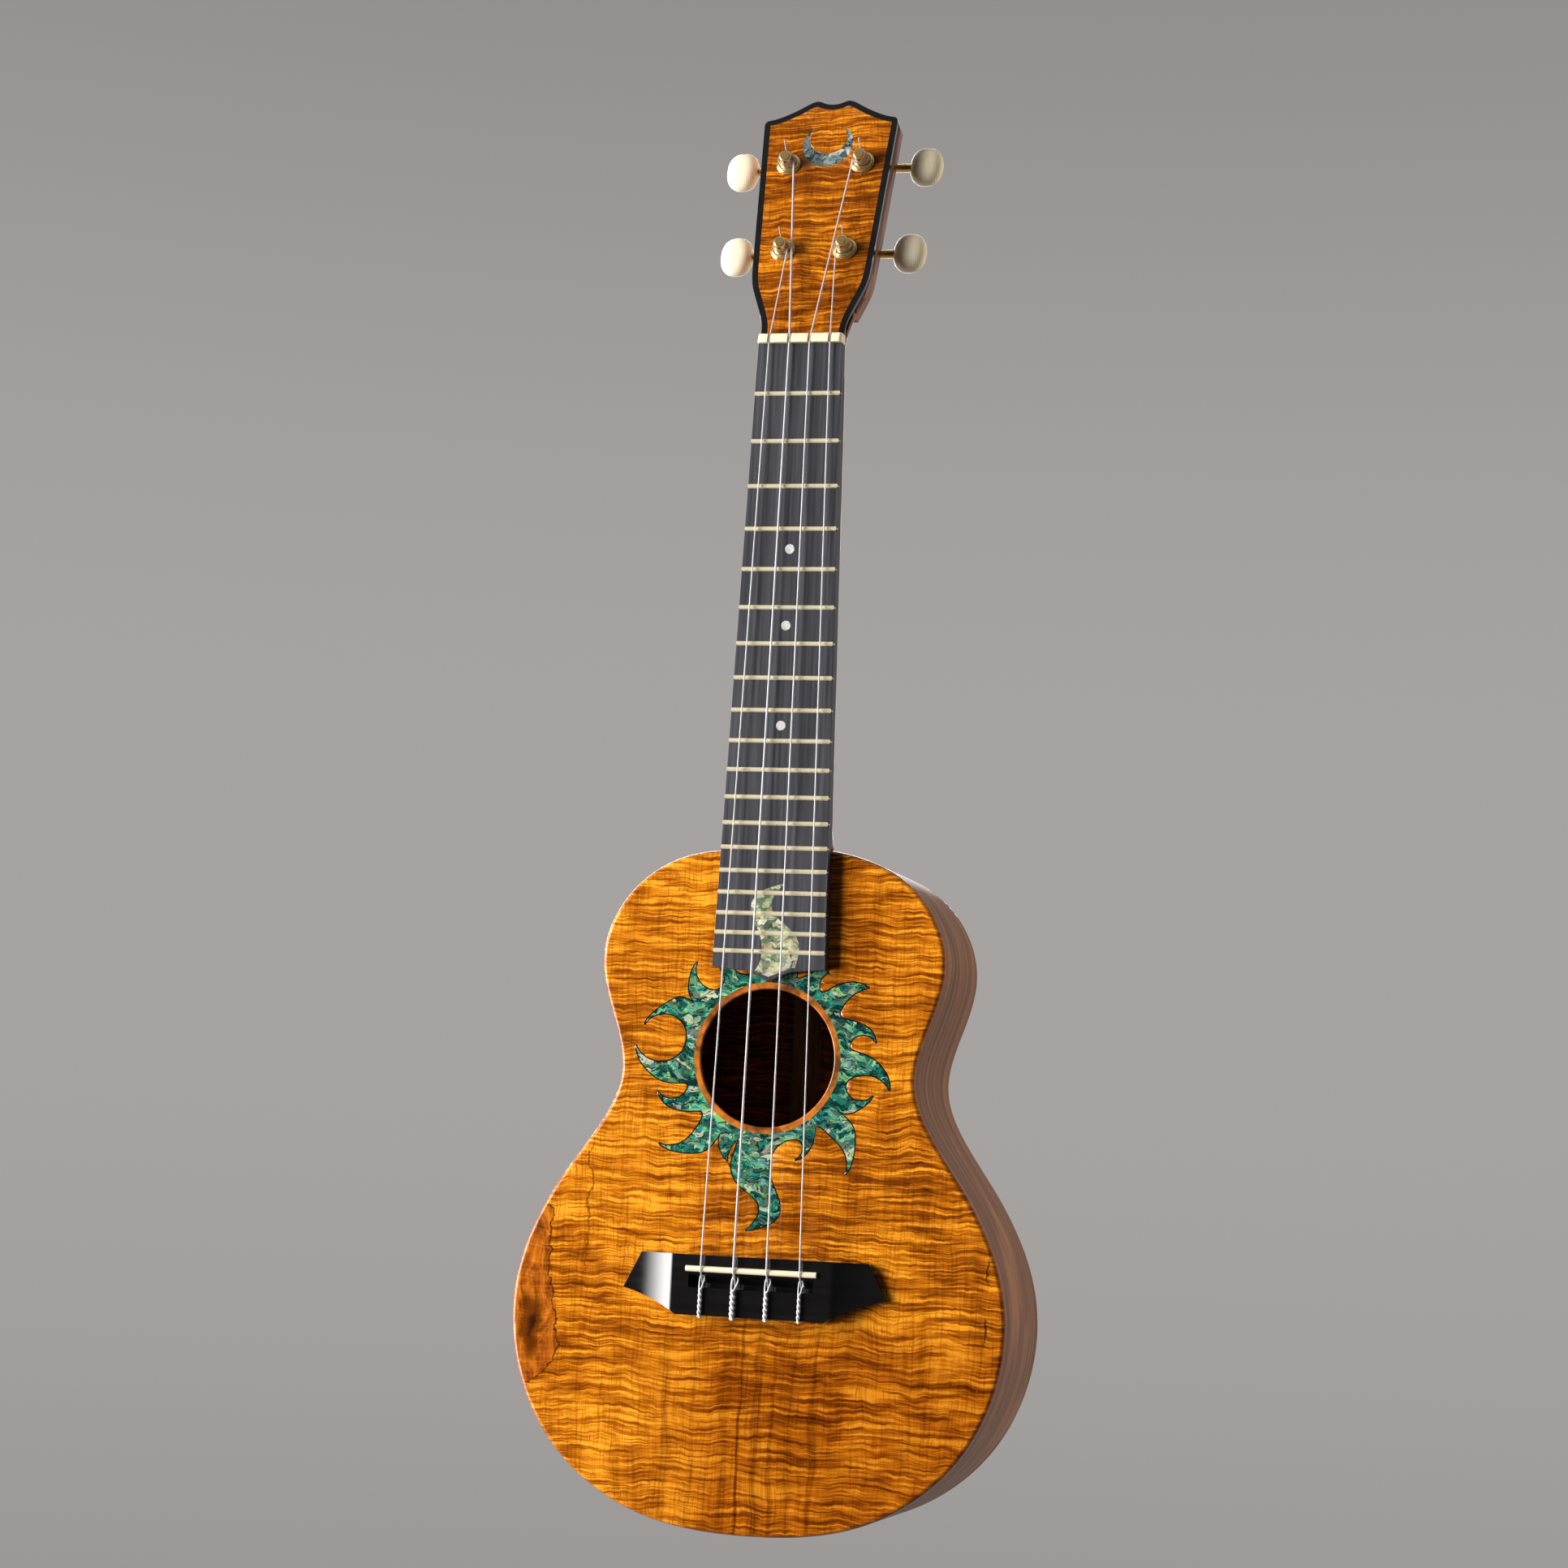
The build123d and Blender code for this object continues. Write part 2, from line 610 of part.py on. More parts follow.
def heel_section(y, half, reach):
    """Half an ellipse standing up from the body's end, at depth y."""
    base = BODY_TOP_Z - 6
    curve = EllipticalCenterArc((0, base), half, reach, start_angle=0, arc_size=180)
    face = make_face(Wire([curve, Line((-half, base), (half, base))]))
    return front_plane(y) * face


def crescent_face():
    """A plain crescent, open side up."""
    shape = Circle(CRESCENT_R) - Pos(0, CRESCENT_SHIFT) * Circle(CRESCENT_INNER_R)
    return Pos(0, CRESCENT_S) * shape


# ---------------------------------------------------------------- fretboard
def build_fretboard():
    board = slab(board_face(), BOARD_FACE_Y, TOP_Y)
    sun_part = slab(sun_face() & board_face(INLAY_MARGIN), BOARD_FACE_Y, BOARD_FACE_Y + INLAY_T)
    dots = []
    for number in DOT_FRETS:
        middle = (fret_z(number) + fret_z(number - 1)) / 2
        dots.append(Pos(0, BOARD_FACE_Y + DOT_T / 2, middle) * Rot(90, 0, 0) * Cylinder(DOT_R, DOT_T))
    board -= sun_part
    for dot in dots:
        board -= dot
    for cut in fret_slots():
        board -= cut
        sun_part -= cut
    keep("fretboard", board)
    keep("fretboard_inlay", sun_part)
    keep("position_dots", *dots)

    frets = []
    for number in range(1, FRET_COUNT + 1):
        z = fret_z(number)
        half = board_half(z)
        arc = ThreePointArc(
            (BOARD_FACE_Y, z - FRET_CROWN_W / 2),
            (BOARD_FACE_Y - FRET_CROWN_H, z),
            (BOARD_FACE_Y, z + FRET_CROWN_W / 2),
        )
        crown = make_face(Wire([arc, Line(arc @ 1, arc @ 0)]))
        tang = Pos(BOARD_FACE_Y + FRET_TANG_D / 2, z) * Rectangle(FRET_TANG_D, FRET_TANG_W)
        placed = Plane(origin=(-half, 0, 0), x_dir=(0, 1, 0), z_dir=(1, 0, 0)) * (crown + tang)
        wire = extrude(placed, amount=2 * half)
        for side in (-1, 1):
            bevel = Pos(side * (half + 1), BOARD_FACE_Y - 1, z) * Rot(0, 0, side * 35) * Box(2, 4, 4)
            wire -= Pos(side * FRET_END_BEVEL, 0, 0) * bevel
        frets.append(wire)
    keep("frets", *frets)


def string_x(index, spacing):
    return (index - 1.5) * spacing


def nut_point(index):
    """Centre of a string at its bend in the nut."""
    return Vector(string_x(index, STRING_SPACING_NUT), BOARD_FACE_Y - NUT_STRING_HEIGHT, NUT_Z + 1.2)


def saddle_round_centre(index):
    """Centre of the saddle's rounded top under a string."""
    y = BOARD_FACE_Y - SADDLE_STRING_HEIGHT + STRING_DIAMETERS[index] / 2 + SADDLE_T / 2
    return Vector(string_x(index, STRING_SPACING_SADDLE), y, SADDLE_Z)


def post_tangent(index):
    """Where a string meets its winding, and where its straight run stops short of it."""
    side = -1 if index < 2 else 1
    x, s = POST_PLACES["lower" if index in (0, 3) else "upper"]
    radius = STRING_DIAMETERS[index] / 2
    turn_r = POST_R + radius
    level = WIND_H + STRING_DIAMETERS[index] * (WIND_TURNS / 2)
    post = Vector(side * x, s)
    start = nut_point(index)
    origin = head_plane(0, 0)
    local = origin.to_local_coords(start)
    away = post - Vector(local.X, local.Y)
    swing = math.asin(turn_r / away.length)
    heading = math.atan2(away.Y, away.X) + swing * side
    length = away.length * math.cos(swing)
    meet = Vector(local.X + length * math.cos(heading), local.Y + length * math.sin(heading), level)
    stop_gap = math.sqrt((turn_r + 2 * radius + 0.15) ** 2 - turn_r**2)
    share = 1 - stop_gap / length
    stop = Vector(
        local.X + length * share * math.cos(heading),
        local.Y + length * share * math.sin(heading),
        local.Z + (level - local.Z) * share,
    )
    return origin.from_local_coords(meet), origin.from_local_coords(stop)


def build_nut_and_saddle():
    half = BOARD_WIDTH_NUT / 2
    top = BOARD_FACE_Y - NUT_RISE
    profile = [(TOP_Y, NUT_Z), (top, NUT_Z), (top, NUT_Z + 1.6), (top + 1.1, NUT_BACK_Z), (TOP_Y, NUT_BACK_Z)]
    nut = side_prism(profile, half)
    corners = [e for e in nut.edges() if abs(abs(e.center().X) - half) < 0.01 and e.center().Y < top + 1.2]
    corners = [e for e in corners if e.center().Y < BOARD_FACE_Y - 0.9]
    nut = fillet(corners, NUT_CORNER_R)
    for index, diameter in enumerate(STRING_DIAMETERS):
        bend = nut_point(index)
        meet, _ = post_tangent(index)
        below = diameter / 2 + 0.12
        slope = (meet.Y - bend.Y) / (meet.Z - bend.Z)
        fore = (bend.Z - NUT_Z + 1) * (SADDLE_STRING_HEIGHT - NUT_STRING_HEIGHT) / SCALE
        floor = [
            (bend.Y - fore + below, NUT_Z - 1),
            (bend.Y + below, bend.Z - 0.6),
            (bend.Y + below + 0.03, bend.Z + 0.6),
            (bend.Y + slope * (NUT_BACK_Z + 1 - bend.Z) + below + 0.05, NUT_BACK_Z + 1),
        ]
        profile = [(top - 3, NUT_Z - 1), *floor, (top - 3, NUT_BACK_Z + 1)]
        nut -= side_prism(profile, (diameter + NUT_SLOT_SPARE) / 2, bend.X)
    keep("nut", nut)

    slot_floor = TOP_Y - BRIDGE_H + SADDLE_SLOT_D
    tall = slot_floor - SADDLE_TOP_Y
    saddle = Pos(0, SADDLE_TOP_Y + tall / 2, SADDLE_Z) * Box(SADDLE_LENGTH, tall, SADDLE_T)
    ridge = [e for e in saddle.edges().filter_by(Axis.X) if e.center().Y < SADDLE_TOP_Y + 0.1]
    keep("saddle", fillet(ridge, SADDLE_T / 2 - 0.02))


# ---------------------------------------------------------------- bridge
def build_bridge():
    half = [
        (0, BRIDGE_FRONT_Z),
        (BRIDGE_FRONT_HALF, BRIDGE_FRONT_Z),
        (BRIDGE_TIP_HALF, BRIDGE_TIP_Z),
    ]
    rear = (BRIDGE_REAR_HALF, BRIDGE_REAR_Z)
    sweep_mid = ((half[2][0] + rear[0]) / 2 + 0.6, (half[2][1] + rear[1]) / 2 + 1.3)
    edges = [Line(half[0], half[1]), Line(half[1], half[2])]
    edges += [ThreePointArc(half[2], sweep_mid, rear), Line(rear, (0, rear[1]))]
    block = slab(symmetric_face(edges), TOP_Y - BRIDGE_H, TOP_Y)

    crest, tip = TOP_Y - BRIDGE_H, TOP_Y - BRIDGE_TIP_H
    reach = BRIDGE_TIP_HALF + 1
    scoop = ThreePointArc((BRIDGE_CENTRE_HALF, crest), (BRIDGE_CENTRE_HALF + 9.5, crest + 3.2), (reach, tip))
    corners = [(reach, tip), (reach, crest - 5), (BRIDGE_CENTRE_HALF, crest - 5), (BRIDGE_CENTRE_HALF, crest)]
    above = [Line(a, b) for a, b in zip(corners[:-1], corners[1:])]
    wing_end = make_face(Wire([scoop, *above]))
    wing_cut = extrude(Plane.XY.offset(BRIDGE_REAR_Z - 5) * wing_end, amount=60)
    block = block - wing_cut - mirror(wing_cut, Plane.YZ)

    slot_floor = crest + SADDLE_SLOT_D
    block -= Pos(0, slot_floor - 5, SADDLE_Z) * Box(SADDLE_LENGTH, 10, SADDLE_T)
    channel_front = TIE_FRONT_Z
    channel_back = SADDLE_Z - SADDLE_T / 2 - SADDLE_BACKING
    channel = [
        (crest - 1, channel_back),
        (crest, channel_back),
        (crest + TIE_CHANNEL_DEPTH, channel_back - TIE_CHANNEL_RAMP),
        (crest + TIE_CHANNEL_DEPTH, channel_front),
        (crest - 1, channel_front),
    ]
    block -= side_prism(channel, TIE_CHANNEL_HALF)
    for index in range(4):
        x = string_x(index, STRING_SPACING_SADDLE)
        block -= Pos(x, TOP_Y - TIE_HOLE_H, BRIDGE_REAR_Z) * Cylinder(TIE_HOLE_R, 40)
    keep("bridge", block)


# ---------------------------------------------------------------- strings
def string_route(index):
    """A string's corners and bend radii, from the post to the knot on the tie block."""
    radius = STRING_DIAMETERS[index] / 2
    _, stop = post_tangent(index)
    bend = nut_point(index)
    centre = saddle_round_centre(index)
    arc_r = SADDLE_T / 2 + radius + 0.03
    hole_in = Vector(centre.X, TOP_Y - TIE_HOLE_H, TIE_FRONT_Z + 0.6)
    over = centre + Vector(0, -arc_r, 0)
    run = (over - bend).normalized()
    fall = (hole_in - over).normalized()
    half_turn = math.radians(run.get_angle(fall)) / 2
    crest = centre + (run - fall).normalized() * (arc_r / math.cos(half_turn))
    behind = BRIDGE_REAR_Z - radius - 0.35
    lid = TOP_Y - BRIDGE_H - radius - 0.1
    tight = 2.2 * radius
    corners = [
        (stop, None),
        (bend, NUT_BEND_R),
        (crest, arc_r),
        (hole_in, 2.0),
        (Vector(centre.X, TOP_Y - TIE_HOLE_H, behind), tight),
        (Vector(centre.X, lid, behind), tight),
        (Vector(centre.X, lid, TIE_FRONT_Z - 0.8), None),
    ]
    return [c for c, _ in corners], [r for _, r in corners if r is not None]


def build_strings():
    for index, diameter in enumerate(STRING_DIAMETERS):
        points, radii = string_route(index)
        path = FilletPolyline(*points, radius=radii)
        start = Plane(origin=path @ 0, z_dir=path % 0)
        tube = sweep(start * Circle(diameter / 2), path=path)
        length = sum(e.length for e in path.edges())
        section = math.pi * diameter**2 / 4
        print(f"string {index + 1}: {length:.1f} mm, tube volume over section times length", end=" ")
        print(f"{tube.volume / (section * length):.4f}, bend radii {[round(r, 2) for r in radii]}")
        last, tip = points[-1], points[-2]
        tail_l = abs(tip.Z - last.Z) - 1.2
        tail = Pos(last.X + diameter + 0.02, last.Y, last.Z - tail_l / 2) * Cylinder(diameter / 2, tail_l)
        keep(f"string_{index + 1}", tube, tail)


# ---------------------------------------------------------------- tuners
def tuner_place(side, x, s, shape):
    """Puts a right-hand tuner piece on either side; the left side is its mirror image."""
    shape = mirror(shape, Plane.YZ) if side < 0 else shape
    return head_plane(side * x, s) * shape


def screw_places():
    return ((-PLATE_INNER + 2.6, -PLATE_LOW + 2.8), (PLATE_OUTER - 2.6, -PLATE_LOW + 2.8))


def screw_shapes():
    """The two wood screws of one plate."""
    shape = None
    for x, y in screw_places():
        head = Pos(x, y, -HEAD_T - PLATE_T - SCREW_HEAD_T / 2) * Cylinder(SCREW_HEAD_R, SCREW_HEAD_T)
        shank = Pos(x, y, -HEAD_T - PLATE_T + SCREW_L / 2) * Cylinder(SCREW_R, SCREW_L)
        cross = Pos(x, y, -HEAD_T - PLATE_T - SCREW_HEAD_T) * (Box(0.5, 2.4, 1.0) + Box(2.4, 0.5, 1.0))
        screw = head + shank - cross
        shape = screw if shape is None else shape + screw
    return shape


def bushing_shape():
    sleeve = Pos(0, 0, -BUSHING_L / 2) * Cylinder(BUSHING_R, BUSHING_L)
    flange = Pos(0, 0, BUSHING_FLANGE_T / 2) * Cylinder(BUSHING_FLANGE_R, BUSHING_FLANGE_T)
    collar = Pos(0, 0, BUSHING_FLANGE_T + BUSHING_COLLAR_T / 2) * Cylinder(BUSHING_COLLAR_R, BUSHING_COLLAR_T)
    shape = sleeve + flange + collar
    rims = []
    for edge in shape.edges().filter_by(GeomType.CIRCLE):
        height = edge.center().Z
        foot_of_collar = abs(height - BUSHING_FLANGE_T) < 0.01 and edge.radius < BUSHING_FLANGE_R - 0.1
        if height > 0.5 and edge.radius > BUSHING_COLLAR_R - 0.1 and not foot_of_collar:
            rims.append(edge)
    shape = fillet(rims, 0.35)
    return shape - Pos(0, 0, -10) * Cylinder(POST_JOURNAL_R + RUN_CLEAR, 60)


def post_shape():
    """The string post: flared spool above, journal through the bushing, and the gear's seat below."""
    collar_top = BUSHING_FLANGE_T + BUSHING_COLLAR_T + 0.1
    gear_top = -WORM_DEPTH + GEAR_W / 2
    seat_end = -WORM_DEPTH - GEAR_W / 2
    outline = Wire(
        [
            Line((0, POST_TOP_H), (POST_TOP_R - 0.4, POST_TOP_H)),
            Line((POST_TOP_R - 0.4, POST_TOP_H), (POST_TOP_R, POST_TOP_H - 0.4)),
            Line((POST_TOP_R, POST_TOP_H - 0.4), (POST_R, 4.9)),
            Line((POST_R, 4.9), (POST_R, POST_FLARE_H + 0.5)),
            ThreePointArc(
                (POST_R, POST_FLARE_H + 0.5),
                (POST_R + 0.28, POST_FLARE_H + 0.12),
                (POST_FLARE_R, collar_top + 0.05),
            ),
            Line((POST_FLARE_R, collar_top + 0.05), (POST_FLARE_R, collar_top)),
            Line((POST_FLARE_R, collar_top), (POST_JOURNAL_R, collar_top)),
            Line((POST_JOURNAL_R, collar_top), (POST_JOURNAL_R, gear_top)),
            Line((POST_JOURNAL_R, gear_top), (POST_SEAT_R, gear_top)),
            Line((POST_SEAT_R, gear_top), (POST_SEAT_R, seat_end)),
            Line((POST_SEAT_R, seat_end), (0, seat_end)),
            Line((0, seat_end), (0, POST_TOP_H)),
        ]
    )
    spun = revolve(Plane.XZ * make_face(outline), axis=Axis.Z)
    hole = Pos(0, 0, STRING_HOLE_H) * Rot(90, 0, 0) * Cylinder(STRING_HOLE_R, 20)
    screw_hole = Pos(0, 0, seat_end + 1.5) * Cylinder(0.8, 3.0)
    return spun - hole - screw_hole


def gear_screw_shape():
    seat_end = -WORM_DEPTH - GEAR_W / 2
    head = Pos(0, 0, seat_end - 0.6) * Cylinder(2.3, 1.2)
    shank = Pos(0, 0, seat_end + 1.5) * Cylinder(0.8, 3.0)
    return head + shank - Pos(0, 0, seat_end - 1.2) * Box(0.6, 5, 1.0)


def twisted(face, height, turn):
    """A flat section carried up Z while it turns, for screw threads and slanted teeth."""
    return Solid.extrude_linear_with_rotation(face.face(), (0, 0, 0), (0, 0, height), turn)


def gear_shape():
    """A wheel whose teeth slant by the worm's lead angle."""
    lead = math.atan(AXIAL_PITCH / (2 * math.pi * WORM_PITCH_R))
    turn = math.degrees(GEAR_W * math.tan(lead) / GEAR_PITCH_R)
    root = GEAR_PITCH_R - TOOTH_DEDENDUM
    outer = GEAR_PITCH_R + TOOTH_ADDENDUM
    step = 2 * math.pi / GEAR_TEETH
    half_pitch = TOOTH_SHARE * step / 2
    flank = math.tan(math.radians(FLANK_ANGLE))
    half_root = half_pitch + TOOTH_DEDENDUM * flank / GEAR_PITCH_R
    half_tip = half_pitch - TOOTH_ADDENDUM * flank / GEAR_PITCH_R
    points = []
    for tooth in range(GEAR_TEETH):
        middle = tooth * step + math.pi / 2
        for radius, swing in ((root, -half_root), (outer, -half_tip), (outer, half_tip), (root, half_root)):
            points.append((radius * math.cos(middle + swing), radius * math.sin(middle + swing)))
    face = make_face(Polyline(*points, close=True))
    wheel = Pos(0, 0, -WORM_DEPTH - GEAR_W / 2) * Rot(0, 0, -turn / 2) * twisted(face, GEAR_W, turn)
    return wheel - Pos(0, 0, -WORM_DEPTH) * Cylinder(POST_SEAT_R, 2 * GEAR_W)


def polar(radius, angle):
    return (radius * math.cos(angle), radius * math.sin(angle))


def worm_face():
    """The worm's section across its axis: a root circle with one thread rising out of it."""
    root = WORM_PITCH_R - TOOTH_DEDENDUM
    outer = WORM_PITCH_R + TOOTH_ADDENDUM
    flank = math.tan(math.radians(FLANK_ANGLE))
    half_pitch = TOOTH_SHARE * AXIAL_PITCH / 2
    to_turn = 2 * math.pi / AXIAL_PITCH
    half_root = (half_pitch + TOOTH_DEDENDUM * flank) * to_turn
    half_tip = (half_pitch - TOOTH_ADDENDUM * flank) * to_turn
    mid_r = WORM_PITCH_R
    mid_a = half_pitch * to_turn
    crest = ThreePointArc(polar(outer, -half_tip), polar(outer, 0), polar(outer, half_tip))
    fall = Spline(polar(outer, half_tip), polar(mid_r, mid_a), polar(root, half_root))
    floor = ThreePointArc(polar(root, half_root), polar(root, math.pi), polar(root, -half_root))
    rise = Spline(polar(root, -half_root), polar(mid_r, -mid_a), polar(outer, -half_tip))
    return make_face(Wire([crest, fall, floor, rise]))


def worm_shape():
    """Worm and shaft in one piece along local X, from the inner lug out into the button."""
    turns = WORM_L / AXIAL_PITCH
    screw = twisted(worm_face(), WORM_L, 360 * turns)
    phase = -360 * (WORM_L / 2) / AXIAL_PITCH + 180
    screw = Rot(0, 0, phase + 90 + 180) * screw
    screw = Pos(0, 0, -WORM_L / 2) * screw
    inner_end = -WORM_L / 2 - LUG_T - 0.8
    outer_end = BUTTON_REACH + 2.0
    journals = Pos(0, 0, (inner_end - WORM_L / 2) / 2) * Cylinder(SHAFT_R, -WORM_L / 2 - inner_end)
    journals += Pos(0, 0, (outer_end + WORM_L / 2) / 2) * Cylinder(SHAFT_R, outer_end - WORM_L / 2)
    return Pos(0, WORM_OFFSET, -WORM_DEPTH) * Rot(0, 90, 0) * (screw + journals)


def plate_shape():
    """Base plate on the back of the headstock, with two lugs that carry the worm shaft."""
    back = -HEAD_T - PLATE_T
    width, tall = PLATE_INNER + PLATE_OUTER, PLATE_LOW + PLATE_HIGH
    centre = ((PLATE_OUTER - PLATE_INNER) / 2, (PLATE_HIGH - PLATE_LOW) / 2)
    sheet = Pos(centre[0], centre[1], -HEAD_T - PLATE_T / 2) * Box(width, tall, PLATE_T)
    sheet = fillet(sheet.edges().filter_by(Axis.Z), 2.5)
    lug_h = WORM_DEPTH + SHAFT_R + 1.3 + back
    for side in (-1, 1):
        x = side * (WORM_L / 2 + 0.15 + LUG_T / 2)
        lug = Pos(x, WORM_OFFSET, back - lug_h / 2) * Box(LUG_T, LUG_W, lug_h)
        top = [e for e in lug.edges().filter_by(Axis.X) if e.center().Z < back - lug_h + 0.1]
        sheet += fillet(top, LUG_W / 2 - 0.2)
    sheet -= Pos(0, WORM_OFFSET, -WORM_DEPTH) * Rot(0, 90, 0) * Cylinder(SHAFT_R + RUN_CLEAR, width + 4)
    sheet -= Pos(0, 0, -HEAD_T) * Cylinder(POST_JOURNAL_R + RUN_CLEAR, 6)
    for x, y in screw_places():
        sheet -= Pos(x, y, -HEAD_T) * Cylinder(SCREW_R, 6)
    return sheet


def button_shape():
    """An oval button, thick in the middle, bored for the shaft."""
    long, tall, thick = BUTTON_SIZE
    oval = Ellipse(long / 2, tall / 2)
    disc = extrude(oval, amount=thick / 2, both=True)
    disc = fillet(disc.edges(), thick / 2 - 1.2)
    bore_end = BUTTON_REACH + 2.0
    bore = Pos((bore_end) / 2, WORM_OFFSET, -WORM_DEPTH) * Rot(0, 90, 0) * Cylinder(SHAFT_R, bore_end)
    return Pos(BUTTON_REACH, WORM_OFFSET, -WORM_DEPTH) * disc - bore


def winding_shapes(diameter):
    """The turns of a string round its post as one ribbed ring, and the cut tail through the post."""
    radius = diameter / 2
    edges = []
    start = Vector(POST_R, WIND_H)
    edges.append(Line(start, (POST_R + radius, WIND_H)))
    for turn in range(WIND_TURNS):
        low = WIND_H + turn * diameter
        bulge = (POST_R + diameter, low + radius)
        edges.append(ThreePointArc((POST_R + radius, low), bulge, (POST_R + radius, low + diameter)))
    high = WIND_H + WIND_TURNS * diameter
    edges.append(Line((POST_R + radius, high), (POST_R, high)))
    edges.append(Line((POST_R, high), start))
    ring = revolve(Plane.XZ * make_face(Wire(edges)), axis=Axis.Z)
    ring -= Cylinder(POST_R, 60)
    length = 2 * POST_R + TAIL_L
    tail = Pos(0, length / 2 - POST_R, STRING_HOLE_H) * Rot(90, 0, 0) * Cylinder(radius, length)
    return ring, tail


def build_tuners():
    plates, screws, bushings = [], [], []
    names = {(-1, "lower"): 1, (-1, "upper"): 2, (1, "upper"): 3, (1, "lower"): 4}
    bushing, post, gear, gear_screw = bushing_shape(), post_shape(), gear_shape(), gear_screw_shape()
    worm, plate, button, screw = worm_shape(), plate_shape(), button_shape(), screw_shapes()
    for (side, row), number in names.items():
        here = (side, *POST_PLACES[row])
        bushings.append(tuner_place(*here, bushing))
        plates.append(tuner_place(*here, plate))
        screws.append(tuner_place(*here, screw))
        ring, tail = winding_shapes(STRING_DIAMETERS[number - 1])
        keep(f"tuner_{number}_post", tuner_place(*here, post))
        keep(f"tuner_{number}_gear", tuner_place(*here, gear))
        keep(f"tuner_{number}_gear_screw", tuner_place(*here, gear_screw))
        keep(f"tuner_{number}_winding", tuner_place(*here, ring), tuner_place(*here, tail))
        keep(f"tuner_{number}_worm_shaft", tuner_place(*here, worm))
        keep(f"tuner_{number}_button", tuner_place(*here, button))
    keep("tuner_bushings", *bushings)
    keep("tuner_plates", *plates)
    keep("tuner_screws", *screws)


build_body()
build_neck()
build_neck_fastening()
build_fretboard()
build_nut_and_saddle()
build_bridge()
build_strings()
build_tuners()

os.makedirs("parts", exist_ok=True)
for name, shape in PARTS.items():
    export_step(shape, f"parts/{name}.step")
print(len(PARTS), "nodes")
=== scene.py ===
"""Looks of a concert ukulele: woods, shell inlays, strings, tuners and the studio round them."""

import json
import math

import bmesh
import bpy
from bpy.props import FloatProperty, FloatVectorProperty, IntProperty, PointerProperty
from mathutils import Matrix, Vector


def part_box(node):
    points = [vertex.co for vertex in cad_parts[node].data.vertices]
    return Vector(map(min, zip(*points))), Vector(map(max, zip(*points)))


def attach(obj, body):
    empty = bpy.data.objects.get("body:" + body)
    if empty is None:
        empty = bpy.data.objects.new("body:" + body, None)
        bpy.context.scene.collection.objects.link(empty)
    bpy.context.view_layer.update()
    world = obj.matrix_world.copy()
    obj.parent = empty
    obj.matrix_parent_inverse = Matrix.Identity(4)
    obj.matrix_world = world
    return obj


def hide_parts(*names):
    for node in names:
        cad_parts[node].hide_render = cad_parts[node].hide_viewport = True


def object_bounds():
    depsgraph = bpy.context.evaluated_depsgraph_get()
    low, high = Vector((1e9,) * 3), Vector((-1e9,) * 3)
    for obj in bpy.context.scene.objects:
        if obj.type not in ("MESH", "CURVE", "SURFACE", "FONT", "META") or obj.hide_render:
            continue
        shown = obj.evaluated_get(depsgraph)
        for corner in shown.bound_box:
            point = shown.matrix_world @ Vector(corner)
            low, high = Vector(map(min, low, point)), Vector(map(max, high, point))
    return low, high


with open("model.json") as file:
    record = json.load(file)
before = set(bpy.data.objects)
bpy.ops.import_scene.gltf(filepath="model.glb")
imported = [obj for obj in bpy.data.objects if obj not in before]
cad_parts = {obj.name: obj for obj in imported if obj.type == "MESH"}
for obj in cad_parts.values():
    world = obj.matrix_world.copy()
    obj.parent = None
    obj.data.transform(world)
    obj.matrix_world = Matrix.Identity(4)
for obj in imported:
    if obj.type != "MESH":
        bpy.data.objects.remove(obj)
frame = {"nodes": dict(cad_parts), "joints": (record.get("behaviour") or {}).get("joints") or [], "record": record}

bl_info = {
    "name": "Concert ukulele finish",
    "version": (1, 0, 0),
    "blender": (4, 5, 0),
    "location": "View3D > Sidebar > Ukulele",
    "description": "Finishes a concert ukulele: woods, shell inlays, strings, tuners and a studio",
    "category": "Object",
}

CAD_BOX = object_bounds()
BODY = "instrument"
MM = 0.001


# ---------------------------------------------------------------- sizes and colours
def length(name, default_mm, about, low=0.0):
    """A size in metres, given in millimetres."""
    return FloatProperty(name=name, description=about, default=default_mm * MM, min=low, unit="LENGTH",
                         precision=5)


def colour(name, value, about):
    """A colour in linear light."""
    return FloatVectorProperty(name=name, description=about, default=value, size=3, min=0.0, max=1.0,
                               subtype="COLOR")


class UKE_PG_woods(bpy.types.PropertyGroup):
    """Colours of the woods."""

    golden: colour("Golden koa", (0.92, 0.375, 0.022), "Bright curls of the soundboard")
    amber: colour("Amber koa", (0.57, 0.172, 0.007), "Middle tone of the soundboard")
    umber: colour("Umber koa", (0.24, 0.058, 0.003), "Dark ripples of the soundboard")
    burnt: colour("Burnt koa", (0.085, 0.018, 0.001), "Darkest streaks and the knot")
    rim: colour("Rim koa", (0.27, 0.118, 0.056), "Satin brown of the sides")
    neck: colour("Neck wood", (0.25, 0.085, 0.036), "Reddish brown of the neck and headstock core")
    ebony: colour("Ebony", (0.044, 0.044, 0.052), "Fretboard")


class UKE_PG_strings(bpy.types.PropertyGroup):
    """Layout of the four strings."""

    nut_spacing: length("Spacing at nut", 8.7, "Distance between strings at the nut")
    saddle_spacing: length("Spacing at saddle", 13.75, "Distance between strings at the saddle")
    thin: length("Thinnest string", 0.62, "Diameter of the first string")
    thick: length("Thickest string", 0.92, "Diameter of the third string")
    turns: IntProperty(name="Turns", description="Turns of string on each post", default=3, min=1, max=6)
    whisker: length("Whisker", 5.0, "Cut end of string that stands out of a post")


